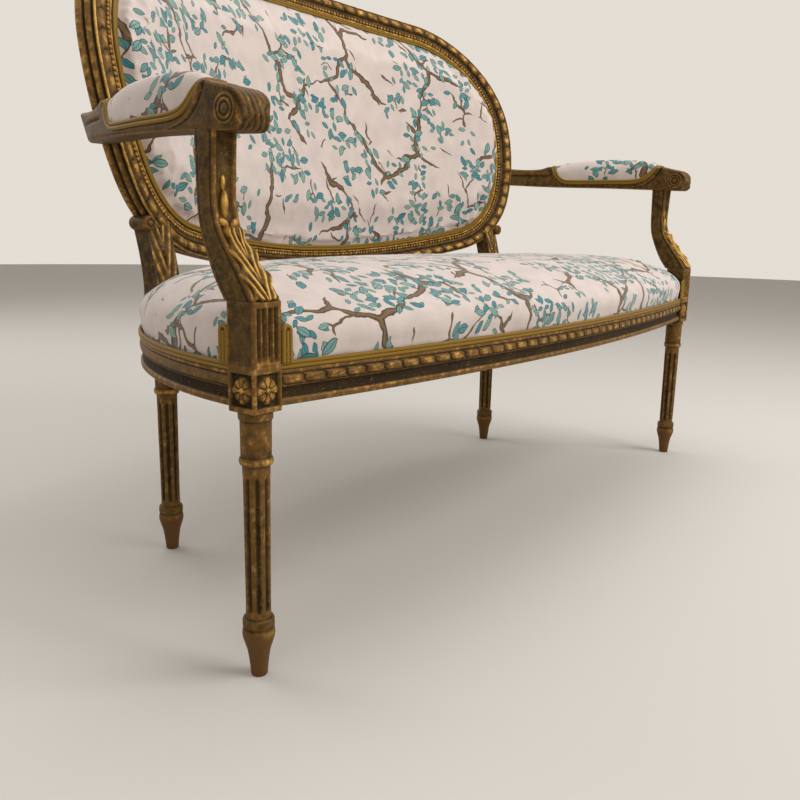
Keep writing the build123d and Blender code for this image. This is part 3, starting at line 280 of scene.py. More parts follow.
def sprig_cloth():
    """Printed velvet-like upholstery cloth: leaf sprigs on wandering twigs over a pale ground."""
    tree, shader, material = new_material("sprig_cloth")
    if tree is None:
        return material
    colours = bpy.context.scene.settee_colours
    flat = add_node(tree, "ShaderNodeAttribute", attribute_name="cloth").outputs["Vector"]
    # Boughs and twigs: spacing, half width, and the noise level under which they fade out
    bough_spacing, twig_spacing = 165 * mm, 66 * mm
    twigs = []
    for spacing, width, keep in ((bough_spacing, 5.2 * mm, 0.42), (twig_spacing, 2.4 * mm, 0.5)):
        near = twig_distance(tree, flat, spacing)
        patch = add_node(
            tree, "ShaderNodeTexNoise", {"Vector": flat, "Scale": 1 / (spacing * 0.9), "Detail": 1.0}
        )
        taper = add_node(tree, "ShaderNodeMapRange", {0: patch, 1: keep, 2: keep + 0.12, 3: 0.0, 4: width})
        share = add_node(tree, "ShaderNodeMath", {0: near, 1: taper}, operation="DIVIDE")
        twigs.append((share, taper))
    # Small, middling and large leaves: spacing, half length, shift of the pattern
    leaf_kinds = ((19 * mm, 8 * mm, 0.0), (24 * mm, 10 * mm, 7.3), (30 * mm, 12.5 * mm, 3.1))
    leaf_reach, cluster_spacing = 19 * mm, 110 * mm
    leaves = []
    for spacing, length, seed in leaf_kinds:
        moved = add_node(tree, "ShaderNodeVectorMath", {0: flat, 1: (seed, seed, 0)}, operation="ADD")
        cell = add_node(
            tree,
            "ShaderNodeTexVoronoi",
            {"Vector": moved, "Scale": 1 / spacing, "Randomness": 0.5},
            voronoi_dimensions="2D",
        )
        middle = cell.outputs["Position"]
        local = add_node(tree, "ShaderNodeVectorMath", {0: moved, 1: middle}, operation="SUBTRACT")
        chance = add_node(tree, "ShaderNodeSeparateColor", {0: cell.outputs["Color"]})
        turn = add_node(tree, "ShaderNodeMath", {0: chance.outputs[0], 1: 2 * pi}, operation="MULTIPLY")
        swung = add_node(
            tree, "ShaderNodeVectorRotate", {"Vector": local, "Angle": turn}, rotation_type="Z_AXIS"
        )
        axes = add_node(tree, "ShaderNodeSeparateXYZ", {0: swung})
        reach = add_node(tree, "ShaderNodeMath", {0: axes.outputs[0], 1: length}, operation="DIVIDE")
        square = add_node(tree, "ShaderNodeMath", {0: reach, 1: reach}, operation="MULTIPLY")
        side = add_node(tree, "ShaderNodeMath", {0: axes.outputs[1]}, operation="ABSOLUTE")
        half = add_node(tree, "ShaderNodeMath", {0: side, 1: length * 0.5}, operation="DIVIDE")
        total = add_node(tree, "ShaderNodeMath", {0: square, 1: half}, operation="ADD")
        # Leaves keep to the twigs and gather in clusters
        root = add_node(tree, "ShaderNodeVectorMath", {0: middle, 1: (seed, seed, 0)}, operation="SUBTRACT")
        close = twig_distance(tree, root, twig_spacing)
        crowd = add_node(
            tree, "ShaderNodeTexNoise", {"Vector": root, "Scale": 1 / cluster_spacing, "Detail": 1.0}
        )
        gather = add_node(tree, "ShaderNodeMapRange", {0: crowd, 1: 0.4, 2: 0.6, 3: 1.0, 4: 0.1})
        picked = add_node(tree, "ShaderNodeMath", {0: gather, 1: chance.outputs[1]}, operation="LESS_THAN")
        beside = add_node(tree, "ShaderNodeMath", {0: close, 1: leaf_reach}, operation="LESS_THAN")
        chosen = add_node(tree, "ShaderNodeMath", {0: picked, 1: beside}, operation="MULTIPLY")
        leaves.append((total, half, chance, chosen))
    return finish_cloth(tree, shader, material, colours, flat, twigs, leaves)


def finish_cloth(tree, shader, material, colours, flat, twigs, leaves):
    """Lays ground, twigs and leaves over each other."""
    mottle = add_node(tree, "ShaderNodeTexNoise", {"Vector": flat, "Scale": 1 / (35 * mm), "Detail": 5.0})
    pale = add_node(tree, "ShaderNodeMapRange", {0: mottle, 1: 0.3, 2: 0.7, 3: 0.9, 4: 1.06})
    ground = add_node(
        tree,
        "ShaderNodeMix",
        {0: 1.0, 6: colours.ground, 7: pale.outputs[0]},
        data_type="RGBA",
        blend_type="MULTIPLY",
    )
    laid = ground.outputs[2]
    for share, taper in twigs:
        inside = add_node(tree, "ShaderNodeMapRange", {0: share, 1: 0.9, 2: 1.1, 3: 1.0, 4: 0.0})
        drawn = add_node(tree, "ShaderNodeMapRange", {0: taper, 1: 0.0008, 2: 0.0012})
        mask = add_node(tree, "ShaderNodeMath", {0: inside, 1: drawn}, operation="MULTIPLY")
        core = add_node(tree, "ShaderNodeMapRange", {0: share, 1: 0.25, 2: 0.8})
        bark = add_node(
            tree, "ShaderNodeMix", {0: core, 6: colours.twig, 7: colours.outline}, data_type="RGBA"
        )
        mixed = add_node(tree, "ShaderNodeMix", {0: mask, 6: laid, 7: bark.outputs[2]}, data_type="RGBA")
        laid = mixed.outputs[2]
    for total, half, chance, chosen in leaves:
        inside = add_node(tree, "ShaderNodeMapRange", {0: total, 1: 0.92, 2: 1.0, 3: 1.0, 4: 0.0})
        mask = add_node(tree, "ShaderNodeMath", {0: inside, 1: chosen}, operation="MULTIPLY")
        shade = chance.outputs[2]
        tint = add_node(tree, "ShaderNodeMix", {0: shade, 6: colours.leaf, 7: colours.sage}, data_type="RGBA")
        rim = add_node(tree, "ShaderNodeMapRange", {0: total, 1: 0.68, 2: 0.86})
        vein = add_node(tree, "ShaderNodeMapRange", {0: half, 1: 0.03, 2: 0.12, 3: 0.7, 4: 0.0})
        lines = add_node(tree, "ShaderNodeMath", {0: rim, 1: vein}, operation="MAXIMUM")
        leaf = add_node(
            tree, "ShaderNodeMix", {0: lines, 6: tint.outputs[2], 7: colours.outline}, data_type="RGBA"
        )
        mixed = add_node(tree, "ShaderNodeMix", {0: mask, 6: laid, 7: leaf.outputs[2]}, data_type="RGBA")
        laid = mixed.outputs[2]
    # Pile 1.2 mm across, coarser than real pile so that it shows
    pile = add_node(tree, "ShaderNodeTexNoise", {"Vector": flat, "Scale": 1 / (1.2 * mm), "Detail": 1.0})
    bump = add_node(tree, "ShaderNodeBump", {"Height": pile, "Strength": 0.12, "Distance": 0.4 * mm})
    set_inputs(tree, shader, {"Base Color": laid, "Roughness": 0.85, "Sheen Weight": 0.3})
    set_inputs(tree, shader, {"Specular IOR Level": 0.25, "Normal": bump})
    return material


def plain_finish(name, light, dark, grain, roughness):
    """Hidden or plain surfaces: two tones of one colour mixed by a noise of the given grain in mm."""
    tree, shader, material = new_material(name)
    if tree is None:
        return material
    place = add_node(tree, "ShaderNodeTexCoord").outputs["Object"]
    noise = add_node(
        tree, "ShaderNodeTexNoise", {"Vector": place, "Scale": 1 / (grain * mm), "Detail": 4.0}
    )
    tone = add_node(tree, "ShaderNodeMix", {0: noise, 6: linear(dark), 7: linear(light)}, data_type="RGBA")
    bump = add_node(tree, "ShaderNodeBump", {"Height": noise, "Strength": 0.2, "Distance": 0.5 * mm})
    set_inputs(tree, shader, {"Base Color": tone.outputs[2], "Roughness": roughness, "Normal": bump})
    return material


def point_layer(bm, name):
    """A layer that holds one number per point of a bmesh; it is made if it isn't there yet."""
    return bm.verts.layers.float.get(name) or bm.verts.layers.float.new(name)


def mapped_grid(bm, columns, rows, place):
    """Adds a grid whose points are put in place by a function of two shares from 0 to 1.

    The function gives a point and its gilding height.
    """
    gild = point_layer(bm, "gild")
    made = bmesh.ops.create_grid(bm, x_segments=columns, y_segments=rows, size=0.5)
    for vert in made["verts"]:
        point, height = place(vert.co.x + 0.5, vert.co.y + 0.5)
        vert.co = point
        vert[gild] = height
    return made["verts"]


def set_piece(name, bm, material, replaced=(), merge=0.02 * mm):
    """Makes a finished object of a bmesh, with its finish, on the part's one body."""
    bmesh.ops.remove_doubles(bm, verts=bm.verts, dist=merge)
    bmesh.ops.recalc_face_normals(bm, faces=bm.faces)
    for face in bm.faces:
        face.smooth = True
    mesh = bpy.data.meshes.new(name)
    bm.to_mesh(mesh)
    bm.free()
    piece = bpy.data.objects.new(name, mesh)
    bpy.context.scene.collection.objects.link(piece)
    mesh.materials.append(material)
    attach(piece, "root")
    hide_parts(*replaced)
    return piece


def crossing(first, second, near):
    """Where two circles (x, y, radius) cross, nearest to a point."""
    dx, dy = second[0] - first[0], second[1] - first[1]
    apart = hypot(dx, dy)
    along = (first[2] ** 2 - second[2] ** 2 + apart**2) / (2 * apart)
    across = sqrt(first[2] ** 2 - along**2)
    foot = (first[0] + dx * along / apart, first[1] + dy * along / apart)
    ends = []
    for way in (-1, 1):
        ends.append((foot[0] + way * dy * across / apart, foot[1] - way * dx * across / apart))
    return min(ends, key=lambda p: hypot(p[0] - near[0], p[1] - near[1]))


class BackShape:
    """The oval outline of the back and the raked, curved surface it lies on."""

    def __init__(self, sizes):
        self.sizes = sizes
        self.waist = sizes.oval_waist
        self.axis_y = rear_y + sizes.back_set - sizes.back_radius
        side_x = sizes.oval_half_width - sizes.oval_side_radius
        side = sizes.oval_side_radius
        quarters = []
        for rise, cap, corner in (
            (sizes.oval_top - sizes.oval_waist, sizes.oval_top_radius, sizes.oval_upper_corner),
            (sizes.oval_waist - sizes.oval_bottom, sizes.oval_bottom_radius, sizes.oval_lower_corner),
        ):
            centre = crossing(
                (side_x, 0, side - corner), (0, rise - cap, cap - corner), (sizes.oval_half_width, rise)
            )
            low = atan2(centre[1], centre[0] - side_x)
            high = atan2(centre[1] - rise + cap, centre[0])
            quarters.append((centre, low, high, rise - cap, cap, corner))
        up, up_low, up_high, up_z, up_cap, up_corner = quarters[0]
        dn, dn_low, dn_high, dn_z, dn_cap, dn_corner = quarters[1]
        self.arcs = (
            (side_x, 0, side, 0, up_low),
            (up[0], up[1], up_corner, up_low, up_high),
            (0, up_z, up_cap, up_high, pi - up_high),
            (-up[0], up[1], up_corner, pi - up_high, pi - up_low),
            (-side_x, 0, side, pi - up_low, pi + dn_low),
            (-dn[0], -dn[1], dn_corner, pi + dn_low, pi + dn_high),
            (0, -dn_z, dn_cap, pi + dn_high, 2 * pi - dn_high),
            (dn[0], -dn[1], dn_corner, 2 * pi - dn_high, 2 * pi - dn_low),
            (side_x, 0, side, 2 * pi - dn_low, 2 * pi),
        )
        self.length = sum(radius * (end - start) for _, _, radius, start, end in self.arcs)

    def outline(self, share, offset):
        """Flat x and height of the outline at a share of its length, moved out by offset."""
        run = (share % 1.0) * self.length
        for x, z, radius, start, end in self.arcs:
            span = radius * (end - start)
            if run <= span:
                break
            run -= span
        angle = start + min(run, span) / radius
        return x + (radius + offset) * cos(angle), self.waist + z + (radius + offset) * sin(angle)

    def lay(self, x, z, depth):
        """A flat point laid on the back at a depth behind its front surface."""
        turn = asin(x / self.sizes.back_radius)
        reach = self.sizes.back_radius + depth
        lean = tan(self.sizes.back_rake) * (z - self.sizes.rake_height)
        return Vector((reach * sin(turn), self.axis_y + lean + reach * cos(turn), z))

    def at(self, share, offset, depth):
        return self.lay(*self.outline(share, offset), depth)


class SeatShape:
    """Plan circles of the seat rails' faces."""

    def __init__(self, sizes):
        # Half a leg's block, and how far the rails lie behind its faces
        half, setback = 20 * mm, 4 * mm
        self.front_end = (front_x - half, front_y - half + setback)
        self.rear_end = (rear_x - half, rear_y + half - setback)
        self.side_start = (front_x + half - setback, front_y + half)
        self.side_end = (rear_x + half, rear_y + half - setback)
        radius = (self.front_end[0] ** 2 + sizes.front_bow**2) / (2 * sizes.front_bow)
        self.front = (0, self.front_end[1] - sizes.front_bow + radius, radius)
        radius = (self.rear_end[0] ** 2 + sizes.rear_bow**2) / (2 * sizes.rear_bow)
        self.rear = (0, self.rear_end[1] + sizes.rear_bow - radius, radius)
        dx, dy = self.side_end[0] - self.side_start[0], self.side_end[1] - self.side_start[1]
        chord = hypot(dx, dy)
        radius = (chord**2 / 4 + sizes.side_bow**2) / (2 * sizes.side_bow)
        pull = sizes.side_bow - radius
        self.side = (
            (self.side_start[0] + self.side_end[0]) / 2 + dy / chord * pull,
            (self.side_start[1] + self.side_end[1]) / 2 - dx / chord * pull,
            radius,
        )

    def run(self, rail, share, inset):
        """Point of a rail's face line at a share of its length, moved in by inset."""
        circle, first, last = {
            "front": (self.front, (-self.front_end[0], self.front_end[1]), self.front_end),
            "rear": (self.rear, (-self.rear_end[0], self.rear_end[1]), self.rear_end),
            "right": (self.side, self.side_start, self.side_end),
            "left": (self.side, self.side_start, self.side_end),
        }[rail]
        start = atan2(first[1] - circle[1], first[0] - circle[0])
        end = atan2(last[1] - circle[1], last[0] - circle[0])
        angle = start + (end - start) * share
        x = circle[0] + (circle[2] - inset) * cos(angle)
        y = circle[1] + (circle[2] - inset) * sin(angle)
        return (-x, y) if rail == "left" else (x, y)

    def length(self, rail):
        total = 0.0
        steps = 64
        for step in range(steps):
            here, there = self.run(rail, step / steps, 0), self.run(rail, (step + 1) / steps, 0)
            total += hypot(there[0] - here[0], there[1] - here[1])
        return total


def cord(bm, length, radius, line):
    """Adds one cord of the gimp along a line given by share, sideways and outward shifts."""
    along = point_layer(bm, "along")
    around = point_layer(bm, "around")
    columns = max(4, round(length / (4 * mm)))
    made = bmesh.ops.create_grid(bm, x_segments=columns, y_segments=8, size=0.5)
    for vert in made["verts"]:
        share, angle = vert.co.x + 0.5, (vert.co.y + 0.5) * 2 * pi
        vert[along] = share * length
        vert[around] = angle
        vert.co = line(share, radius * cos(angle), radius * sin(angle))


class Trail:
    """A line of points, each with the direction that its surface faces, for laying cords on."""

    def __init__(self, points, facings, closed):
        self.points, self.facings, self.closed = points, facings, closed
        ends = points[1:] + points[:1] if closed else points[1:]
        self.steps = [(there - here).length for here, there in zip(points, ends)]
        self.length = sum(self.steps)

    def at(self, share, side, out):
        """Point at a share of the length, moved sideways on the surface and out of it."""
        run, index = share * self.length, 0
        while index < len(self.steps) - 1 and run > self.steps[index]:
            run -= self.steps[index]
            index += 1
        after = (index + 1) % len(self.points)
        part = min(1.0, run / self.steps[index])
        point = self.points[index].lerp(self.points[after], part)
        facing = self.facings[index].lerp(self.facings[after], part).normalized()
        first = self.points[index - 1] if self.closed or index else self.points[0]
        last = self.points[(after + 1) % len(self.points)] if self.closed else self.points[after]
        ahead = (self.points[after] - first).normalized()
        beyond = (last - self.points[index]).normalized()
        along = ahead.lerp(beyond, part)
        return point + along.cross(facing).normalized() * side + facing * out


class SETTEE_OT_back_frame(bpy.types.Operator):
    """Carved oval frame: channelled edge, twisted ribbon, bead row and inner fillet"""

    bl_idname = "settee.back_frame"
    bl_label = "Back frame"

    def execute(self, context):
        sizes = context.scene.settee_sizes
        back = BackShape(sizes)
        # Section from the rear outer edge, over the front, to the rear inner edge: offset, depth, height
        section = [(-2, 34, 0.3), (0, 32, 0.7), (0, 26, 0.5), (-1, 25, 0.5), (-3, 23.5, 0.0), (-3, 21.5, 0.0)]
        section += [(-1, 20, 0.5), (0, 19, 0.7), (0, 14, 0.5), (-1, 13, 0.5), (-3, 11.5, 0.0), (-3, 9.5, 0.0)]
        section += [(-1, 8, 0.5), (0, 7, 0.8), (-0.5, 4.5, 0.9), (-2.5, 4, 0.2)]
        ribbon_first = len(section)
        ribbon_steps = 14
        for step in range(ribbon_steps + 1):
            share = step / ribbon_steps
            section.append((-3 - 15 * share, 4 - 4.2 * sin(pi * share) ** 0.7, 0.0))
        ribbon_last = len(section) - 1
        section += [(-19, 4.2, 0.05), (-24, 4.2, 0.3), (-25, 5, 0.1), (-31.5, 5, 0.1), (-32, 3, 0.5)]
        section += [(-33, 2.4, 0.8), (-35, 2.6, 0.6), (-36, 4, 0.2), (-36, 30, 0.0), (-34, 34, 0.2)]
        section += [(-2, 34, 0.3)]
        rows = len(section) - 1

        def place(share, across):
            index = round(across * rows)
            offset, depth, height = section[index]
            if ribbon_first <= index <= ribbon_last:
                width = (index - ribbon_first) / (ribbon_last - ribbon_first)
                relief = ribbon(share * round(back.length / sizes.ribbon_pitch), width)
                depth -= 3.4 * relief - 1.6
                height = 0.8 * relief
            return back.at(share, offset * mm, depth * mm), height

        bm = bmesh.new()
        mapped_grid(bm, 1150, rows, place)
        members = ("back_top_rail", "back_stile_left", "back_stile_right", "back_bottom_rail")
        set_piece("oval_frame", bm, aged_giltwood(), members)

        bm = bmesh.new()
        gild = point_layer(bm, "gild")
        # The bead row lies inside the outline, so it is shorter
        row_share = 0.93
        bead_radius, bead_offset, bead_depth = 3 * mm, -28.2 * mm, 4.4 * mm
        count = round(back.length * row_share / sizes.bead_pitch)
        for step in range(count):
            spot = Matrix.Translation(back.at(step / count, bead_offset, bead_depth))
            made = bmesh.ops.create_uvsphere(
                bm, u_segments=8, v_segments=5, radius=bead_radius, matrix=spot
            )
            for vert in made["verts"]:
                vert[gild] = 0.75
        set_piece("oval_beads", bm, aged_giltwood())
        return {"FINISHED"}


class SETTEE_OT_gimp(bpy.types.Operator):
    """Double-cord gimp round the back, the seat and the stumps"""

    bl_idname = "settee.gimp"
    bl_label = "Gimp"

    def execute(self, context):
        sizes = context.scene.settee_sizes
        back, seat = BackShape(sizes), SeatShape(sizes)
        radius = sizes.cord_radius
        # Depth of the cords behind the back's front surface, and which way is out
        for name, depth, way in (("front", 1.2 * mm, -1), ("rear", 30.5 * mm, 1)):
            bm = bmesh.new()
            for offset in (-38.6 * mm, -42.8 * mm):

                def line(share, side, out, offset=offset):
                    return back.at(share, offset + side, depth + way * out)

                cord(bm, back.length, radius, line)
            set_piece(f"back_gimp_cords_{name}", bm, cord_gimp(), (f"back_gimp_{name}",))
        ledge = rail_low + 38 * mm
        for rail in ("front", "rear", "left", "right"):
            bm = bmesh.new()
            for height in (ledge + 2.5 * mm, ledge + 6.8 * mm):

                def line(share, side, out, height=height):
                    x, y = seat.run(rail, share, 0.6 * mm - out)
                    return Vector((x, y, height + side))

                cord(bm, seat.length(rail), radius, line)
            set_piece(f"seat_gimp_cords_{rail}", bm, cord_gimp(), (f"seat_gimp_{rail}",))
        self.stump_loops(seat, radius)
        return {"FINISHED"}

    def stump_loops(self, seat, radius):
        """Upright loops of cord that cover the cut cloth on both sides of each front stump."""
        bm = bmesh.new()
        low, high = rail_low + 46 * mm, rail_low + 84 * mm
        half, beside, proud = 2 * radius, 20 * mm + 2.6 * radius, 2.2 * mm
        for way in (-1, 1):
            side_x = seat.run("right" if way > 0 else "left", 0.02, 0)[0]
            front_face = seat.run("front", 0.01, 0)[1]
            front_spot = Vector((way * (front_x - beside), front_face - proud, 0))
            side_spot = Vector((side_x + way * proud, front_y + beside, 0))
            for spot, level, facing in (
                (front_spot, Vector((1, 0, 0)), Vector((0, -1, 0))),
                (side_spot, Vector((0, 1, 0)), Vector((way, 0, 0))),
            ):
                foot, head = Vector((0, 0, low)), Vector((0, 0, high - half))
                points = [spot + level * half + foot, spot + level * half + head]
                for step in range(1, 13):
                    turn = pi * step / 12
                    rise = Vector((0, 0, high - half + half * sin(turn)))
                    points.append(spot + level * half * cos(turn) + rise)
                points.append(spot - level * half + foot)
                loop = Trail(points, [facing] * len(points), False)
                cord(bm, loop.length, radius, loop.at)
                stem = Trail([spot + foot, spot + head], [facing] * 2, False)
                cord(bm, stem.length, radius, stem.at)
        set_piece("stump_gimp_cords", bm, cord_gimp(), ("stump_gimps",))


def node_copy(name):
    """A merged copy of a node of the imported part."""
    bm = bmesh.new()
    bm.from_mesh(frame["nodes"][name].data)
    bmesh.ops.remove_doubles(bm, verts=bm.verts, dist=0.02 * mm)
    return bm


def puffed(name, bm, replaced, voxel, cap, held, flat, fuller=None):
    """A pad remeshed, filled out, swollen by a short cloth simulation and covered in the printed cloth."""
    mesh = bpy.data.meshes.new(name)
    bm.to_mesh(mesh)
    bm.free()
    pad = bpy.data.objects.new(name, mesh)
    bpy.context.scene.collection.objects.link(pad)
    bpy.context.view_layer.objects.active = pad
    remesh = pad.modifiers.new("Remesh", "REMESH")
    remesh.mode = "VOXEL"
    remesh.voxel_size = voxel
    bpy.ops.object.modifier_apply(modifier=remesh.name)
    mesh = pad.data
    if fuller:
        shifts = [fuller(vert.co, vert.normal) for vert in mesh.vertices]
        for vert, shift in zip(mesh.vertices, shifts):
            vert.co += shift
        mesh.update()
    swell(pad, cap, held)
    lifted = mesh.attributes.new("cloth", "FLOAT_VECTOR", "POINT")
    for vert in mesh.vertices:
        lifted.data[vert.index].vector = flat(vert.co, vert.normal)
    for face in mesh.polygons:
        face.use_smooth = True
    smooth = pad.modifiers.new("Subdivision", "SUBSURF")
    smooth.levels = 1
    smooth.render_levels = 1
    mesh.materials.append(sprig_cloth())
    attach(pad, "root")
    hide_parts(*replaced)
    return pad


def unrolled(shoulder):
    """A function that lays a pad's cloth flat for the print: what hangs under the shoulder turns outwards."""

    def flat(point, normal):
        drop = max(0.0, shoulder - point.z)
        side = Vector((normal.x, normal.y))
        if side.length > 1e-6:
            side.normalize()
        return (point.x + side.x * drop, point.y + side.y * drop, 0.0)

    return flat


def swell(pad, cap, held):
    """Swells a pad by pressure for a few frames; no point moves further than cap."""
    frames = 20
    mesh = pad.data
    rest = [vert.co.copy() for vert in mesh.vertices]
    group = pad.vertex_groups.new(name="held")
    group.add([i for i, co in enumerate(rest) if held(co)], 1.0, "REPLACE")
    cloth = pad.modifiers.new("Cloth", "CLOTH")
    cloth.settings.quality = 5
    cloth.settings.use_pressure = True
    cloth.settings.uniform_pressure_force = 4.0
    cloth.settings.effector_weights.gravity = 0.0
    cloth.settings.vertex_group_mass = group.name
    cloth.point_cache.frame_start = 1
    cloth.point_cache.frame_end = frames
    scene = bpy.context.scene
    for step in range(1, frames + 1):
        scene.frame_set(step)
    shaped = pad.evaluated_get(bpy.context.evaluated_depsgraph_get()).to_mesh()
    for vert, start, moved in zip(mesh.vertices, rest, shaped.vertices):
        shift = moved.co - start
        if shift.length > cap:
            shift *= cap / shift.length
        vert.co = start + shift
    pad.modifiers.remove(cloth)
    scene.frame_set(1)
    mesh.update()


class SETTEE_OT_seat(bpy.types.Operator):
    """Domed seat, swollen by a cloth simulation"""

    bl_idname = "settee.seat"
    bl_label = "Seat"

    def execute(self, context):
        bm = node_copy("seat_stuffing")
        floor_z = min(vert.co.z for vert in bm.verts)
        for vert in bm.verts:
            if vert.co.z < floor_z + 0.1 * mm:
                vert.co.z = rail_low + 39 * mm
        # The fuller sides start over the gimp and are full after the fade
        gimp_rise, fade, push, lower = 44 * mm, 20 * mm, 8 * mm, 3 * mm

        def fuller(point, normal):
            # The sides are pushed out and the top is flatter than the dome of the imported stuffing
            rise = max(0.0, min(1.0, (point.z - rail_low - gimp_rise) / fade))
            out = push * rise * hypot(normal.x, normal.y)
            sink = lower * max(0.0, normal.z) ** 8
            return Vector((normal.x * out, normal.y * out, 0.3 * normal.z * out - sink))

        puffed(
            "seat_pad",
            bm,
            ("seat_cover", "seat_stuffing"),
            8 * mm,
            5 * mm,
            lambda point: point.z < rail_low + 48 * mm,
            unrolled(415 * mm),
            fuller,
        )
        return {"FINISHED"}


class SETTEE_OT_back_pad(bpy.types.Operator):
    """Crowned back pad and the flat cloth on its rear"""

    bl_idname = "settee.back_pad"
    bl_label = "Back pad"

    def execute(self, context):
        sizes = context.scene.settee_sizes
        back = BackShape(sizes)

        def flat(point, normal):
            turn = asin(max(-0.99, min(0.99, point.x / sizes.back_radius)))
            return (turn * sizes.back_radius, point.z, 0.0)

        def depth_of(point):
            lean = tan(sizes.back_rake) * (point.z - sizes.rake_height)
            return hypot(point.x, point.y - lean - back.axis_y) - sizes.back_radius

        puffed(
            "back_pad",
            node_copy("back_stuffing"),
            ("back_cover", "back_stuffing"),
            7 * mm,
            13 * mm,
            lambda point: depth_of(point) > 2 * mm,
            flat,
        )
        bm = node_copy("back_rear_cover")
        cloth = bm.verts.layers.float_vector.new("cloth")
        for vert in bm.verts:
            vert[cloth] = Vector(flat(vert.co, vert.normal))
        set_piece("back_rear_cloth", bm, sprig_cloth(), ("back_rear_cover",))
        return {"FINISHED"}


def smooth_line(points, at):
    """Value of a smooth line through given points, at a place along them."""
    if at <= points[0][0]:
        return points[0][1]
    if at >= points[-1][0]:
        return points[-1][1]
    last = len(points) - 1
    index = max(i for i in range(last) if points[i][0] <= at)
    slopes = []
    for i in (index, index + 1):
        before, after = points[max(i - 1, 0)], points[min(i + 1, last)]
        slopes.append((after[1] - before[1]) / (after[0] - before[0]))
    (x0, y0), (x1, y1) = points[index], points[index + 1]
    span = x1 - x0
    t = (at - x0) / span
    rise = y0 + (y1 - y0) * t * t * (3 - 2 * t)
    return rise + span * t * (1 - t) * ((1 - t) * slopes[0] - t * slopes[1])


def bump_at(value, middle, width):
    """A smooth bump from 0 to 1 and back, of the given half width."""
    return exp(-(((value - middle) / width) ** 2))


def sleeve(bm, stations, ring, place):
    """Adds a closed sleeve with flat ends.

    The function place gives a point and a gilding height for a station and a share of a turn.
    """
    gild = point_layer(bm, "gild")
    columns = len(stations) + 1
    made = bmesh.ops.create_grid(bm, x_segments=columns, y_segments=ring, size=0.5)
    ends = {}
    for column, station in ((0, stations[0]), (columns, stations[-1])):
        middle = Vector()
        for step in range(ring):
            middle += place(station, step / ring)[0] / ring
        ends[column] = middle
    for vert in made["verts"]:
        column = round((vert.co.x + 0.5) * columns)
        around = round((vert.co.y + 0.5) * ring) % ring / ring
        station = stations[min(max(column - 1, 0), len(stations) - 1)]
        point, height = place(station, around)
        vert.co = ends.get(column, point)
        vert[gild] = height


def turned(bm, profile, centre, axis, first, steps):
    """Spins a profile into a closed turned shape.

    Each point of the profile is a radius and a place along the axis, in mm, and a gilding height.
    """
    gild = point_layer(bm, "gild")
    centre, axis, first = Vector(centre), Vector(axis), Vector(first)
    before = set(bm.verts)
    verts = []
    for radius, along, height in profile:
        vert = bm.verts.new(centre + first * radius * mm + axis * along * mm)
        vert[gild] = height
        verts.append(vert)
    edges = [bm.edges.new(pair) for pair in zip(verts, verts[1:])]
    bmesh.ops.spin(
        bm, geom=verts + edges, cent=centre, axis=axis, angle=2 * pi, steps=steps, use_merge=True
    )
    return [vert for vert in bm.verts if vert not in before]


def square_face(around):
    """Face of a four-sided ring and the share across it, from -1 to 1."""
    spot = around * 4
    return int(spot) % 4, (spot - int(spot)) * 2 - 1


def eased(across, half, radius):
    """Place along a face and depth under its flat, for a face of a ring whose corners are rounded."""
    into = abs(across) * half - (half - radius)
    if into <= 0:
        return across * half, 0.0
    turn = min(1.0, into / radius) * pi / 4
    place = half - radius + radius * sin(turn)
    return (place if across > 0 else -place), radius * (1 - cos(turn))


def quarter(reach, radius):
    """How far a quarter-round end lies under the full shape at a reach from its tip."""
    left = max(0.0, 1 - reach / radius)
    return radius * (1 - sqrt(1 - left * left))


def flute_end(reach, radius):
    """Share of a flute's full width at a reach from its round end."""
    return 1.0 if reach > radius else sqrt(max(0.0, 1 - (1 - reach / radius) ** 2))


def ribbon(turn, width):
    """Relief from 0 to 1 of a ribbon twisted round a rod: long smooth runs parted by S-shaped slits."""
    phase = (turn + 0.45 * (width - 0.5) + 0.09 * sin(2 * pi * width)) % 1.0
    slit = 1.1 * bump_at(phase, 0.1, 0.06)
    fold = 0.3 * bump_at(phase, 0.27, 0.05) + 0.22 * bump_at(width, 0.5 + 0.3 * (phase - 0.6), 0.07)
    swell = 0.6 + 0.4 * sin(pi * phase) ** 0.5
    return max(0.0, (swell - slit - fold) * max(0.0, sin(pi * width)) ** 0.5)


def rosette(right, up):
    """Relief from 0 to 1 of an eight-petalled flower about its middle, in mm."""
    radius = hypot(right, up)
    if radius < 3.2:
        return 0.7 + 0.3 * cos(radius / 3.2 * pi / 2)
    turn = atan2(up, right)
    petal = abs(cos(4 * turn)) ** 0.55
    long_petal = 1 - ((radius - 8.5) / (6.6 if abs(cos(2 * turn)) > 0.7 else 5.2)) ** 2
    hollow = 0.35 * bump_at(radius, 8.5, 3.0) * abs(cos(4 * turn)) ** 6
    return max(0.0, petal * max(0.0, long_petal) ** 0.5 - hollow)


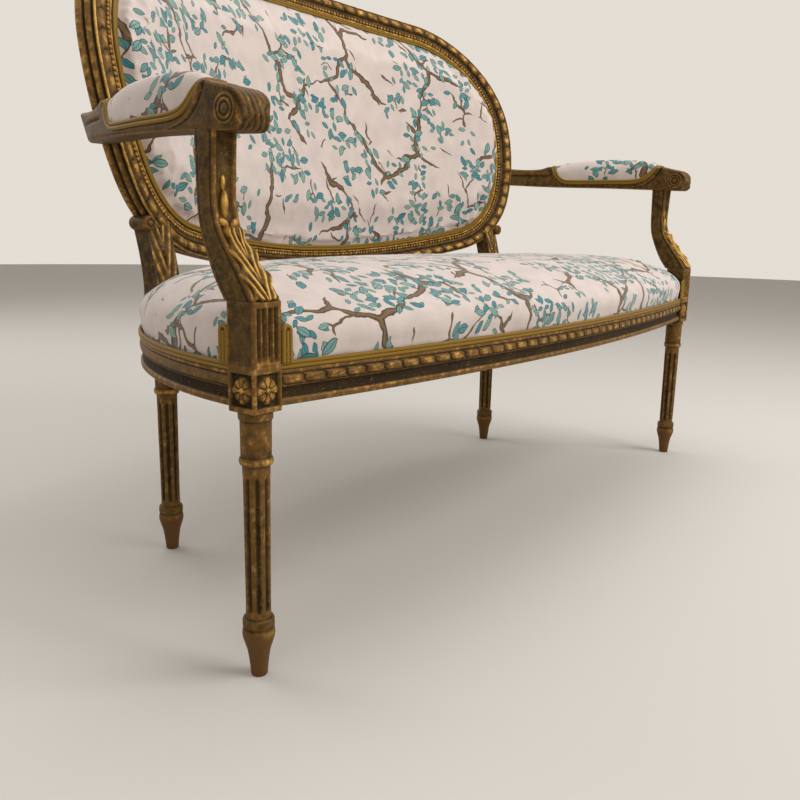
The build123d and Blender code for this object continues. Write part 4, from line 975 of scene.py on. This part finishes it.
class ArmShape:
    """Centre line and heights of one arm. Lines are in mm, set from the front leg axis."""

    # Edge of the pad along the arm's side, and the wood's top in front of it and behind it
    rim = (
        (58, 627), (62, 622), (70, 613), (78, 605), (88, 599), (100, 596), (120, 594.5), (180, 594.5),
        (250, 595), (262, 598), (272, 606), (279, 617), (285, 629),
    )
    nose = ((-10, 617), (10, 618.5), (35, 623.5), (50, 627.5), (58, 628))
    tail = ((285, 629), (292, 630), (308, 625), (332, 623), (365, 624), (402, 627))
    under_line = ((-10, 576), (60, 579), (110, 581), (180, 583.5), (300, 586), (402, 590))

    def __init__(self, side):
        self.way = -1 if side == "left" else 1
        low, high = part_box(f"arm_{side}")
        self.front, self.rear = low.y, high.y
        self.half = 22 * mm
        self.pad_front, self.pad_rear = front_y + 58 * mm, front_y + 285 * mm

    def middle(self, y):
        # 621 mm out at the tip and 89 mm further in at the rear, bowed out by a quarter of 104 mm
        start = front_y - 28 * mm
        share = (y - start) / (self.rear - start)
        return self.way * (621 * mm - 89 * mm * share + 104 * mm * share * (1 - share))

    def under(self, y):
        return smooth_line(self.under_line, (y - front_y) / mm) * mm

    def edge(self, y):
        return smooth_line(self.rim, (y - front_y) / mm) * mm

    def over(self, y):
        if y < self.pad_front:
            return smooth_line(self.nose, (y - front_y) / mm) * mm
        if y > self.pad_rear:
            return smooth_line(self.tail, (y - front_y) / mm) * mm
        return self.edge(y) - 1 * mm


class SETTEE_OT_arms(bpy.types.Operator):
    """Arms with a blunt leaf-ribbed end, a ringed disc on each side and a moulding round the pad"""

    bl_idname = "settee.arms"
    bl_label = "Arms"

    # Middle of the ringed discs: set behind the front leg axis, and height, in mm
    hub = (17, 597)
    # Groove on the sides from the nose down to the underside: height against set behind that axis
    groove = ((582, 128), (584, 104), (588, 84), (596, 69), (606, 59), (618, 51), (630, 45))

    def side_relief(self, y, z):
        """How far a side is sunk, in mm, and its gilding: grooves, worn band and ring round the disc."""
        right, up = (y - front_y) / mm, z / mm
        ring_rear, ring_top, ring_radius = 26, 611, 18.5
        tail_start, tail_end, tail_z = 290, 385, 609
        lag = (right - smooth_line(self.groove, up)) * 0.75
        sunk = 1.3 * bump_at(lag, 0, 1.3)
        height = 0.24 - 0.24 * bump_at(lag, 0, 1.8)
        if 1.5 < lag < 9 and up < 628:
            sunk -= 0.7
            height = 0.42
        ring = hypot(right - self.hub[0], up - self.hub[1])
        if right < ring_rear and up < ring_top:
            fade = min(1.0, (ring_top - up) / 4, (ring_rear - right) / 4)
            sunk += 1.1 * fade * bump_at(ring, ring_radius, 1.2)
            height -= 0.2 * fade * bump_at(ring, ring_radius, 1.6)
        # Behind the pad a long groove sets off the top moulding
        if right > tail_start:
            fade = max(0.0, min(1.0, (right - tail_start) / 12, (tail_end - right) / 20))
            sunk += 1.8 * fade * bump_at(up, tail_z, 1.8)
            height += fade * (0.25 * bump_at(up, tail_z + 7, 4) - 0.24 * bump_at(up, tail_z, 2.2))
        return sunk, max(0.0, height)

    def execute(self, context):
        per_side = 22
        # Radii in mm of the blunt end's top, underside and sides, and of the long edges
        round_top, round_under, round_side, round_edge = 19, 13, 8, 5
        for side in ("left", "right"):
            arm = ArmShape(side)
            # Rings that close the blunt end, then rings along the arm, closer together in front
            tip = arm.front + 4 * mm
            stations = [(tip, size) for size in (0.2, 0.4, 0.6, 0.75, 0.88)]
            y = tip
            while y < arm.rear:
                stations.append((y, 1.0))
                fine = y < front_y + 130 * mm or arm.pad_rear - 30 * mm < y < arm.pad_rear
                y += 1.5 * mm if fine else 4 * mm
            stations.append((arm.rear, 1.0))

            def place(station, around):
                y, size = station
                face, across = square_face(around)
                reach = (y - tip) / mm
                high = arm.over(y) - quarter(reach, round_top) * mm
                low = arm.under(y) + quarter(reach, round_under) * mm
                half = arm.half - quarter(reach, round_side) * mm
                middle, tall = (low + high) / 2, (high - low) / 2
                height = 0.25 + 0.4 * bump_at(abs(across), 0.93, 0.08)
                if face % 2 == 0:
                    x, under = eased(across, half, round_edge * mm)
                    x, z = (x, middle + tall - under) if face == 0 else (-x, middle - tall + under)
                else:
                    z, under = eased(across, tall, round_edge * mm)
                    z = middle - z if face == 1 else middle + z
                    sunk, height = self.side_relief(y, z)
                    x = half - under - sunk * mm * (1 - across**8)
                    x = x if face == 1 else -x
                    height += 0.3 * bump_at(abs(across), 0.95, 0.06)
                x, z = x * size, middle + (z - middle) * size
                if reach < 24:
                    fade = min(1.0, (24 - reach) / 10)
                    rib = 0.5 + 0.5 * cos(2 * pi * (x / (7.4 * mm) + (z - middle) / (38 * mm)))
                    height += (0.05 + 0.5 * rib - height) * fade
                    z -= 1.4 * (1 - rib) * fade * mm * (z - middle) / tall
                    y -= (1.6 * rib * bump_at(reach, 0, 5) + 1.4 * (1 - size * size) - 1.6) * mm
                fall = max(0.0, min(1.0, (y - arm.rear) / (60 * mm) + 1))
                x += arm.middle(y) - arm.way * 0.3 * fall * (high - z)
                return Vector((x, y, z)), height

            bm = bmesh.new()
            sleeve(bm, stations, 4 * per_side, place)
            disc = [(0, 1.7, 0.45), (4, 1.6, 0.45), (5.4, 0.5, 0.05), (7, 0.5, 0.05), (8.2, 1.5, 0.5)]
            disc += [(9.8, 1.6, 0.5), (10.8, 0.6, 0.05), (12, 0.6, 0.05), (13.2, 1.5, 0.5), (14.6, 1.4, 0.5)]
            disc += [(15.4, 0.3, 0.1), (15.8, -2, 0.05)]
            hub_y, hub_z = front_y + self.hub[0] * mm, self.hub[1] * mm
            for out in (-1, 1):
                hub = (arm.middle(hub_y) + out * arm.half, hub_y, hub_z)
                turned(bm, disc, hub, (out, 0, 0), (0, 0, 1), 36)
            set_piece(f"carved_arm_{side}", bm, aged_giltwood(), (f"arm_{side}",))
        return {"FINISHED"}


class SETTEE_OT_arm_supports(bpy.types.Operator):
    """Swept arm supports with a hollowed front and an acanthus leaf"""

    bl_idname = "settee.arm_supports"
    bl_label = "Arm supports"

    # Front and rear edges: height, and set behind the front leg axis, in mm
    front_edge = ((413, -19), (432, -6), (452, 10), (481, 32), (500, 38), (515, 40), (545, 39), (585, 37))
    rear_edge = ((413, 24), (432, 38), (452, 49), (481, 61), (500, 65), (515, 66), (545, 67), (585, 68))
    half_width = ((413, 19.5), (430, 18.5), (455, 17), (490, 16), (585, 16))
    leaf_width = ((0, 15.5), (0.1, 19), (0.2, 21), (0.4, 20), (0.65, 17.5), (0.88, 13), (1, 6))

    def leaf(self, bm, x):
        """Acanthus leaf over the lower front: long flutes fan out into lobes that stand off the wood."""

        def place(length, across):
            z = 412 + 74 * length
            s = 2 * across - 1
            rib = 0.5 + 0.5 * cos(2 * pi * (2.1 * abs(s) - 3.2 * length))
            lobe = 0.5 + 0.5 * cos(2 * pi * (2.1 - 3.2 * length))
            width = smooth_line(self.leaf_width, length) * (0.7 + 0.34 * lobe * abs(s) ** 1.5)
            vein = bump_at(s, 0, 0.07)
            body = 2 + 3.2 * (1 - s * s) + (1.2 + 2.8 * abs(s)) * rib - 2.4 * vein
            stand = body + 2.6 * lobe * s**4 + 5 * length**6
            # The rim turns back into the wood
            turn = max(0.0, (abs(s) - 0.86) / 0.14, 1 - length / 0.05, (length - 0.96) / 0.04) ** 2
            stand -= (stand + 8) * turn
            y = front_y + (smooth_line(self.front_edge, z) - stand + 2 * s * s) * mm
            right = s * width * (1 - 0.22 * turn)
            lift = 3 * lobe * s * s * (1 - turn)
            return Vector((x + right * mm, y, (z + lift) * mm)), 0.2 + 0.8 * rib - 0.5 * vein - 0.3 * turn

        mapped_grid(bm, 96, 44, place)

    def husk(self, bm, x):
        """Two curled petals over the leaf's tip and a long bud lying in the hollow over them."""
        gild = point_layer(bm, "gild")
        shapes = [((way * 6.5, -0.5, 489), (7, 2.6, 3.8), way * -0.6) for way in (-1, 1)]
        shapes += [((0, 2.5, 507), (4.6, 4.2, 15), 0.0), ((0, 3.5, 529), (3, 2.6, 8), 0.0)]
        for (right, back, z), size, lean in shapes:
            spot = (x + right * mm, front_y + (smooth_line(self.front_edge, z) + back) * mm, z * mm)
            turn = Matrix.Rotation(lean, 4, "Y") @ Matrix.Diagonal((*(value * mm for value in size), 1))
            made = bmesh.ops.create_uvsphere(
                bm, u_segments=14, v_segments=10, radius=1, matrix=Matrix.Translation(spot) @ turn
            )
            for vert in made["verts"]:
                vert[gild] = 0.75

    def execute(self, context):
        # Section: sideways, share of the depth from the front, height of the gilding
        half = [(0, 0.17, 0.25), (0.3, 0.16, 0.25), (0.48, 0.13, 0.2), (0.6, 0.08, 0.2), (0.68, 0.015, 0.5)]
        half += [(0.8, -0.01, 0.55), (0.93, 0.0, 0.55), (1, 0.04, 0.5), (1, 0.1, 0.25), (0.975, 0.14, 0.0)]
        half += [(0.975, 0.18, 0.0), (1, 0.22, 0.3), (1, 0.4, 0.22), (1, 0.6, 0.22), (1, 0.8, 0.22)]
        half += [(0.975, 0.84, 0.05), (1, 0.88, 0.3), (0.99, 0.96, 0.45), (0.92, 1, 0.4), (0, 1, 0.2)]
        section = half + [(-across, deep, height) for across, deep, height in reversed(half[1:-1])]
        stations = [stump_top + step * 3 * mm for step in range(57)]
        for side, way in (("left", -1), ("right", 1)):
            x = way * front_x

            def place(z, around):
                across, deep, height = section[round(around * len(section)) % len(section)]
                front = smooth_line(self.front_edge, z / mm)
                rear = smooth_line(self.rear_edge, z / mm)
                width = smooth_line(self.half_width, z / mm)
                y = front_y + (front + deep * (rear - front)) * mm
                return Vector((x + across * width * mm, y, z)), height

            bm = bmesh.new()
            sleeve(bm, stations, len(section), place)
            self.leaf(bm, x)
            self.husk(bm, x)
            set_piece(f"carved_support_{side}", bm, aged_giltwood(), (f"arm_support_{side}",))
        return {"FINISHED"}


def fluted_leg(bm, x, y):
    """Turns one leg and hollows its flutes; the foot is marked as worn bare."""
    bare = point_layer(bm, "bare")
    profile = [(0, 0, 0), (8.4, 0, 0.2), (9.2, 1.5, 0.4), (10.1, 12, 0.4), (11.2, 21, 0.4), (12.8, 31, 0.4)]
    profile += [(15.5, 39.5, 0.45), (17.5, 46, 0.5), (18, 50.5, 0.55), (17.6, 55, 0.5), (16.2, 57.8, 0.05)]
    profile += [(16.8, 58.8, 0.3), (17.5, 59.8, 0.4), (17.5, 66.5, 0.4), (16.6, 68.6, 0.4)]
    profile += [(13.9, 69.8, 0.0)]
    low, high, steps = 70, 240, 61
    for step in range(steps + 1):
        z = low + (high - low) * step / steps
        profile.append((13.8 + (z - low) / (high - low), z, 0.5))
    profile += [(16, 241, 0.1), (17.6, 242.6, 0.6), (18.5, 245.5, 0.75), (17.8, 248.6, 0.6)]
    profile += [(16.4, 250.6, 0.1), (16.4, 252, 0.3), (16.5, 262, 0.5), (16.6, 276, 0.5)]
    profile += [(16.7, 287, 0.45), (16.9, 289.5, 0.1)]
    profile += [(18, 290.6, 0.5), (18.4, 292, 0.5), (18.4, 297, 0.45), (18, 299, 0.2), (0, 299, 0.0)]
    spun = turned(bm, profile, (x, y, 0), (0, 0, 1), (1, 0, 0), 112)
    gild = point_layer(bm, "gild")
    flutes, half, bottom, top, depth = 8, 2.9, 77.0, 229.0, 2.4
    foot_top, foot_fade = 58, 14
    for vert in spun:
        z = vert.co.z / mm
        vert[bare] = max(0.0, min(1.0, (foot_top - z) / foot_fade))
        out = Vector((vert.co.x - x, vert.co.y - y, 0))
        radius = out.length / mm
        if radius < 11 or not bottom < z < top:
            continue
        turn = (atan2(out.y, out.x) / (2 * pi) * flutes + 0.4) % 1.0
        side = (turn - 0.5) * 2 * pi * radius / flutes
        end = min(z - bottom, top - z)
        rounded = flute_end(end, half)
        hollow = max(0.0, 1 - (side / (half * max(rounded, 0.05))) ** 2) * rounded
        if hollow:
            vert.co -= out.normalized() * depth * sqrt(hollow) * mm
            # The flutes are darkened towards their middle as dirt and painted shade
            vert[gild] = 0.3 * (1 - hollow)


class SETTEE_OT_legs(bpy.types.Operator):
    """Fluted legs; front ones carry a rosette block and a fluted stump, rear ones a leaning upright"""

    bl_idname = "settee.legs"
    bl_label = "Legs"

    def stump(self, bm, x, way):
        """Square block with sunk rosettes and the fluted stump over it."""
        half, low, high, joint = 20.0, 299.0, 413.0, 345.0
        rosette_z = 322
        flute_low, flute_high, flute_pitch, flutes_half = 349, 407, 8, 16
        stations = [low + (high - low) * step / 114 for step in range(115)]
        outer = 1 if way > 0 else 3

        def place(z, around):
            face, share = square_face(around)
            across, sunk = eased(share, half, 2.5)
            height = 0.22 + 0.4 * bump_at(abs(across), 18.5, 1.6)
            sunk += 0.8 * max(0.0, 1 - min(z - low, high - z) / 1.2)
            if face in (0, outer) and z < joint and abs(across) < 15.5 and abs(z - rosette_z) < 18:
                relief = rosette(across, z - rosette_z)
                sunk, height = sunk + 4 - 4.6 * relief, 0.9 * relief
            elif face in (0, outer) and z < joint + 4:
                height = max(height, 0.55)
            elif face == 0 and flute_low < z < flute_high and abs(across) < flutes_half:
                lane = (across + flutes_half) % flute_pitch - flute_pitch / 2
                end = min(z - flute_low, flute_high - z)
                rounded = flute_end(end, 3.2)
                hollow = sqrt(max(0.0, 1 - (lane / 3.4) ** 2)) * rounded
                sunk += 3.6 * hollow
                # The flutes are darkened as dirt and painted shade, and their rounded lower ends are
                # brightened as a painted highlight
                foot = max(0.0, 1 - (z - flute_low) / 9)
                height = 0.66 - 0.66 * hollow + 0.8 * foot * hollow
            elif face == 0:
                height = 0.5
            elif face == outer and 351 < z < 409 and abs(across) < 16:
                sunk, height = sunk + 0.9, 0.18
            sunk += 0.6 * bump_at(z, joint + 2, 0.8)
            out = half - sunk
            right, back = ((across, -out), (out, across), (-across, out), (-out, -across))[face]
            return Vector((x + right * mm, front_y + back * mm, z * mm)), height

        sleeve(bm, stations, 4 * 44, place)

    def upright(self, bm, way):
        """Rear block and leaning upright, its front carved, with a roll where it meets the back."""
        half = 20.0
        # Height against the set of the front and rear faces behind the rear leg axis, in mm
        front_edge = ((299, -20), (357, -20), (385, -19), (430, -11), (490, 5))
        rear_edge = ((299, 20), (357, 20), (400, 19), (440, 25.5), (490, 40))
        low, high = 299, 490
        stations = [low + (high - low) * step / 96 for step in range(97)]

        def place(z, around):
            face, across = square_face(around)
            front, rear = smooth_line(front_edge, z), smooth_line(rear_edge, z)
            middle, depth = (front + rear) / 2, (rear - front) / 2
            along, sunk = eased(across, half if face % 2 == 0 else depth, 2.5)
            height = 0.2 + 0.35 * bump_at(abs(across), 0.93, 0.07)
            if face == 0 and z > 366:
                flow = 1.7 * abs(across) - z / 46
                rib = 0.5 + 0.5 * cos(2 * pi * flow)
                vein = bump_at(across, 0, 0.08)
                sunk += 1.4 - 2.6 * rib * (1 - across**4) + 1.6 * vein
                height = 0.1 + 0.6 * rib - 0.3 * vein
            sunk += 0.8 * bump_at(z, 347, 0.9)
            right, back = (
                (along, sunk - depth),
                (half - sunk, along),
                (-along, depth - sunk),
                (sunk - half, -along),
            )[face]
            return Vector((way * rear_x + right * mm, rear_y + (middle + back) * mm, z * mm)), height

        sleeve(bm, stations, 4 * 24, place)
        # Roll on the outer corner
        roll = [(0, -1.5, 0.5), (3, -1.2, 0.5), (4, 0.2, 0.1), (5.6, 0.2, 0.1), (7, -0.6, 0.4), (9, 0, 0.5)]
        roll += [(10.4, 2, 0.5), (10.6, 5, 0.4), (9.9, 10, 0.3), (9.9, 28, 0.3), (10.6, 34, 0.4)]
        roll += [(9.4, 37, 0.5), (0, 37.5, 0.3)]
        roll_z = 487
        start = rear_y + (smooth_line(front_edge, roll_z) - 10) * mm
        turned(bm, roll, (way * (rear_x + 21 * mm), start, roll_z * mm), (0, 1, 0), (0, 0, 1), 28)

    def execute(self, context):
        for side, way in (("left", -1), ("right", 1)):
            bm = bmesh.new()
            fluted_leg(bm, way * front_x, front_y)
            self.stump(bm, way * front_x, way)
            set_piece(f"fluted_front_leg_{side}", bm, aged_giltwood(), (f"front_leg_{side}",))
            bm = bmesh.new()
            fluted_leg(bm, way * rear_x, rear_y)
            self.upright(bm, way)
            set_piece(f"fluted_rear_leg_{side}", bm, aged_giltwood(), (f"rear_leg_{side}",))
        return {"FINISHED"}


class SETTEE_OT_rails(bpy.types.Operator):
    """Moulded seat rails: fillet, hollow, carved band and upper fillet"""

    bl_idname = "settee.rails"
    bl_label = "Seat rails"

    def execute(self, context):
        seat = SeatShape(context.scene.settee_sizes)
        # Section from the lower inner edge: out from the face line, height over the underside, gilding
        lower = [(-27, 0, 0), (-1.2, 0, 0.3), (0, 1, 0.6), (0.3, 3, 0.45), (0, 6.2, 0.6), (-0.8, 7.2, 0.4)]
        lower += [(-3, 8, 0), (-4.4, 10, 0), (-5, 13, 0), (-4.6, 16, 0), (-3.2, 18.4, 0), (-1.4, 19.6, 0.2)]
        lower += [(-0.6, 20.4, 0.4), (-0.8, 21.2, 0.0)]
        band_steps = 12
        band = [(-1.4, 21.4 + 11.2 * step / band_steps, 0.0) for step in range(band_steps + 1)]
        upper = [(-1.4, 33, 0), (-0.2, 33.8, 0.5), (0.4, 35, 0.6), (0.5, 36.4, 0.55), (0, 37.6, 0.5)]
        upper += [(-1, 38, 0.3), (-27, 38, 0)]
        section = lower + band + upper
        for rail in ("front", "left", "right"):
            length = seat.length(rail)
            turns = round(length / (30 * mm))
            steps = round(length / (1.5 * mm))
            stations = [step / steps for step in range(steps + 1)]

            def place(share, around):
                index = round(around * len(section)) % len(section)
                out, z, height = section[index]
                if len(lower) <= index < len(lower) + len(band):
                    width = (index - len(lower)) / band_steps
                    plain = 0.7 * sin(pi * width) ** 0.5
                    relief = ribbon(share * turns, width) if rail == "front" else plain
                    out += 3.4 * relief
                    height = 0.75 * relief
                x, y = seat.run(rail, share, -out * mm)
                return Vector((x, y, rail_low + z * mm)), height

            bm = bmesh.new()
            sleeve(bm, stations, len(section), place)
            node = "front_rail" if rail == "front" else f"side_rail_{rail}"
            set_piece(f"moulded_{node}", bm, aged_giltwood(), (node,))
        return {"FINISHED"}


class SETTEE_OT_arm_pads(bpy.types.Operator):
    """Crowned pads on the arms and the gimp round them"""

    bl_idname = "settee.arm_pads"
    bl_label = "Arm pads"

    # Top of the pad along the arm: set behind the front leg axis against height, in mm
    crown = (
        (58, 628), (64, 633.5), (76, 638), (105, 642.5), (160, 645),
        (215, 644), (245, 641), (266, 637), (278, 633.5), (285, 630),
    )

    def edging(self, arm):
        """Line round the pad's edge: along both sides, over the nose and over the stop behind."""
        points, facings = [], []
        count = 240
        reach = (arm.pad_rear - arm.pad_front) / 2
        for step in range(count):
            turn = 2 * pi * step / count
            ahead, right = cos(turn), sin(turn)
            ahead = abs(ahead) ** 0.3 * (1 if ahead > 0 else -1)
            right = abs(right) ** 0.3 * (1 if right > 0 else -1)
            y = arm.pad_front + reach - reach * ahead
            points.append(Vector((arm.middle(y) + (arm.half + 0.4 * mm) * right, y, arm.edge(y) + 1.2 * mm)))
            facings.append(Vector((right**3, 0, 1 - right * right + 0.05)).normalized())
        return Trail(points, facings, True)

    def execute(self, context):
        radius = context.scene.settee_sizes.cord_radius
        for side in ("left", "right"):
            arm = ArmShape(side)
            bm = bmesh.new()
            for sides in (0, 1):

                def place(share, across):
                    y = arm.pad_front + (arm.pad_rear - arm.pad_front) * share
                    s = 2 * across - 1
                    low = arm.edge(y)
                    rise = smooth_line(self.crown, (y - front_y) / mm) * mm - low
                    z = low + sides * max(rise, 0) * max(0.0, 1 - abs(s) ** 2.6) ** 0.5
                    half = (arm.half - 0.5 * mm) * max(0.0, 1 - abs(2 * share - 1) ** 12) ** 0.25
                    return Vector((arm.middle(y) + s * half, y, z)), 0.0

                mapped_grid(bm, 60, 22, place)
            bmesh.ops.remove_doubles(bm, verts=bm.verts, dist=0.02 * mm)
            bmesh.ops.recalc_face_normals(bm, faces=bm.faces)

            puffed(
                f"arm_pad_{side}_cloth",
                bm,
                (f"arm_pad_{side}", f"arm_pad_cover_{side}"),
                3 * mm,
                3 * mm,
                lambda point: point.z < arm.edge(point.y) + 2.5 * mm,
                unrolled(636 * mm),
            )
            trail = self.edging(arm)
            bm = bmesh.new()
            for shift in (-radius * 0.95, radius * 0.95):

                def line(share, across, out, shift=shift):
                    return trail.at(share, across + shift, out)

                cord(bm, trail.length, radius, line)
            set_piece(f"arm_pad_gimp_cords_{side}", bm, cord_gimp(), (f"arm_pad_gimp_{side}",))
        return {"FINISHED"}


class SETTEE_OT_plain_nodes(bpy.types.Operator):
    """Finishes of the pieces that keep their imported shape"""

    bl_idname = "settee.plain_nodes"
    bl_label = "Frame pieces"

    def execute(self, context):
        # Dull gilt and sawn beech, tan hessian and jute webbing, grey drawn wire, pale calico
        finishes = {
            "gilt_wood": plain_finish("dull_gilt_beech", "4E3A19", "2F210F", 30, 0.6),
            "frame_wood": plain_finish("sawn_beech", "9A734A", "6E4E30", 14, 0.75),
            "hessian": plain_finish("coarse_hessian", "8A7A5E", "6A5B44", 2, 0.95),
            "webbing": plain_finish("jute_webbing", "8C7350", "6B5537", 3, 0.95),
            "steel": plain_finish("drawn_steel", "7A7672", "55514D", 6, 0.4),
            "printed_fabric": sprig_cloth(),
            "gimp": cord_gimp(),
            "stuffing": plain_finish("calico", "D2C6AC", "BBAE92", 5, 0.95),
        }
        for subpart in frame["record"]["subparts"]:
            mesh = frame["nodes"][subpart["node"]].data
            mesh.materials.clear()
            mesh.materials.append(finishes[subpart["material_slot"]])
        return {"FINISHED"}


class SETTEE_OT_stage(bpy.types.Operator):
    """Plain pale floor, soft studio light and the camera"""

    bl_idname = "settee.stage"
    bl_label = "Stage"

    def execute(self, context):
        scene = context.scene
        bm = bmesh.new()
        bmesh.ops.create_circle(bm, cap_ends=True, radius=9.0, segments=96)
        mesh = bpy.data.meshes.new("floor")
        bm.to_mesh(mesh)
        bm.free()
        floor = bpy.data.objects.new("floor", mesh)
        scene.collection.objects.link(floor)
        tree, shader, material = new_material("painted_floor")
        set_inputs(tree, shader, {"Base Color": scene.settee_colours.floor, "Roughness": 0.8})
        mesh.materials.append(material)

        world = bpy.data.worlds.new("studio")
        scene.world = world
        world.use_nodes = True
        tree = world.node_tree
        tree.nodes.clear()
        rays = add_node(tree, "ShaderNodeLightPath")
        seen = add_node(
            tree,
            "ShaderNodeMath",
            {0: rays.outputs["Is Camera Ray"], 1: rays.outputs["Is Glossy Ray"]},
            operation="MAXIMUM",
        )
        strength = add_node(tree, "ShaderNodeMapRange", {0: seen, 3: 0.4, 4: 0.78})
        sky = add_node(tree, "ShaderNodeBackground", {"Color": (1.0, 0.93, 0.85), "Strength": strength})
        add_node(tree, "ShaderNodeOutputWorld", {"Surface": sky})

        # Name, place and size in metres, power in watts
        lamps = (
            ("key", (0.9, -2.7, 2.3), 2.0, 72),
            ("fill", (-2.4, -1.4, 2.0), 2.0, 9),
            ("top", (0.3, 0.3, 3.2), 2.4, 40),
            ("rear", (-0.6, 3.0, 2.2), 2.4, 26),
        )
        for name, spot, size, power in lamps:
            light = bpy.data.lights.new(name, "AREA")
            light.size = size
            light.energy = power
            lamp = bpy.data.objects.new(name, light)
            lamp.location = spot
            lamp.rotation_mode = "QUATERNION"
            lamp.rotation_quaternion = (Vector((0, 0, 0.5)) - Vector(spot)).to_track_quat("-Z", "Y")
            scene.collection.objects.link(lamp)

        # Viewing angle, lens and place solved from the photograph
        yaw, pitch, roll = radians(52.97), radians(11.68), radians(-1.18)
        ahead = Vector((sin(yaw) * cos(pitch), cos(yaw) * cos(pitch), -sin(pitch)))
        level = Vector((cos(yaw), -sin(yaw), 0))
        down = ahead.cross(level)
        right = cos(roll) * level + sin(roll) * down
        below = cos(roll) * down - sin(roll) * level
        lens = bpy.data.cameras.new("camera")
        lens.sensor_width = 36
        lens.lens = 37.55
        camera = bpy.data.objects.new("camera", lens)
        turn = Matrix((right, -below, -ahead)).transposed()
        camera.matrix_world = Matrix.Translation((-1.2103, -0.9055, 0.4881)) @ turn.to_4x4()
        scene.collection.objects.link(camera)
        scene.camera = camera
        scene.view_settings.view_transform = "Standard"
        return {"FINISHED"}


class SETTEE_PT_panel(bpy.types.Panel):
    """Lists the settee's pieces"""

    bl_idname = "SETTEE_PT_panel"
    bl_label = "Settee"
    bl_space_type = "VIEW_3D"
    bl_region_type = "UI"
    bl_category = "Settee"

    def draw(self, context):
        for operator in operators:
            self.layout.operator(operator.bl_idname)


operators = (
    SETTEE_OT_plain_nodes,
    SETTEE_OT_back_frame,
    SETTEE_OT_arms,
    SETTEE_OT_arm_supports,
    SETTEE_OT_legs,
    SETTEE_OT_rails,
    SETTEE_OT_gimp,
    SETTEE_OT_seat,
    SETTEE_OT_back_pad,
    SETTEE_OT_arm_pads,
    SETTEE_OT_stage,
)


def register():
    for group in (SetteeSizes, SetteeColours, *operators, SETTEE_PT_panel):
        bpy.utils.register_class(group)
    bpy.types.Scene.settee_sizes = bpy.props.PointerProperty(type=SetteeSizes)
    bpy.types.Scene.settee_colours = bpy.props.PointerProperty(type=SetteeColours)


def unregister():
    del bpy.types.Scene.settee_colours
    del bpy.types.Scene.settee_sizes
    for group in reversed((SetteeSizes, SetteeColours, *operators, SETTEE_PT_panel)):
        bpy.utils.unregister_class(group)


def main():
    register()
    bpy.ops.settee.plain_nodes()
    bpy.ops.settee.back_frame()
    bpy.ops.settee.arms()
    bpy.ops.settee.arm_supports()
    bpy.ops.settee.legs()
    bpy.ops.settee.rails()
    bpy.ops.settee.gimp()
    bpy.ops.settee.seat()
    bpy.ops.settee.back_pad()
    bpy.ops.settee.arm_pads()
    bpy.ops.settee.stage()


if __name__ == "__main__":
    main()
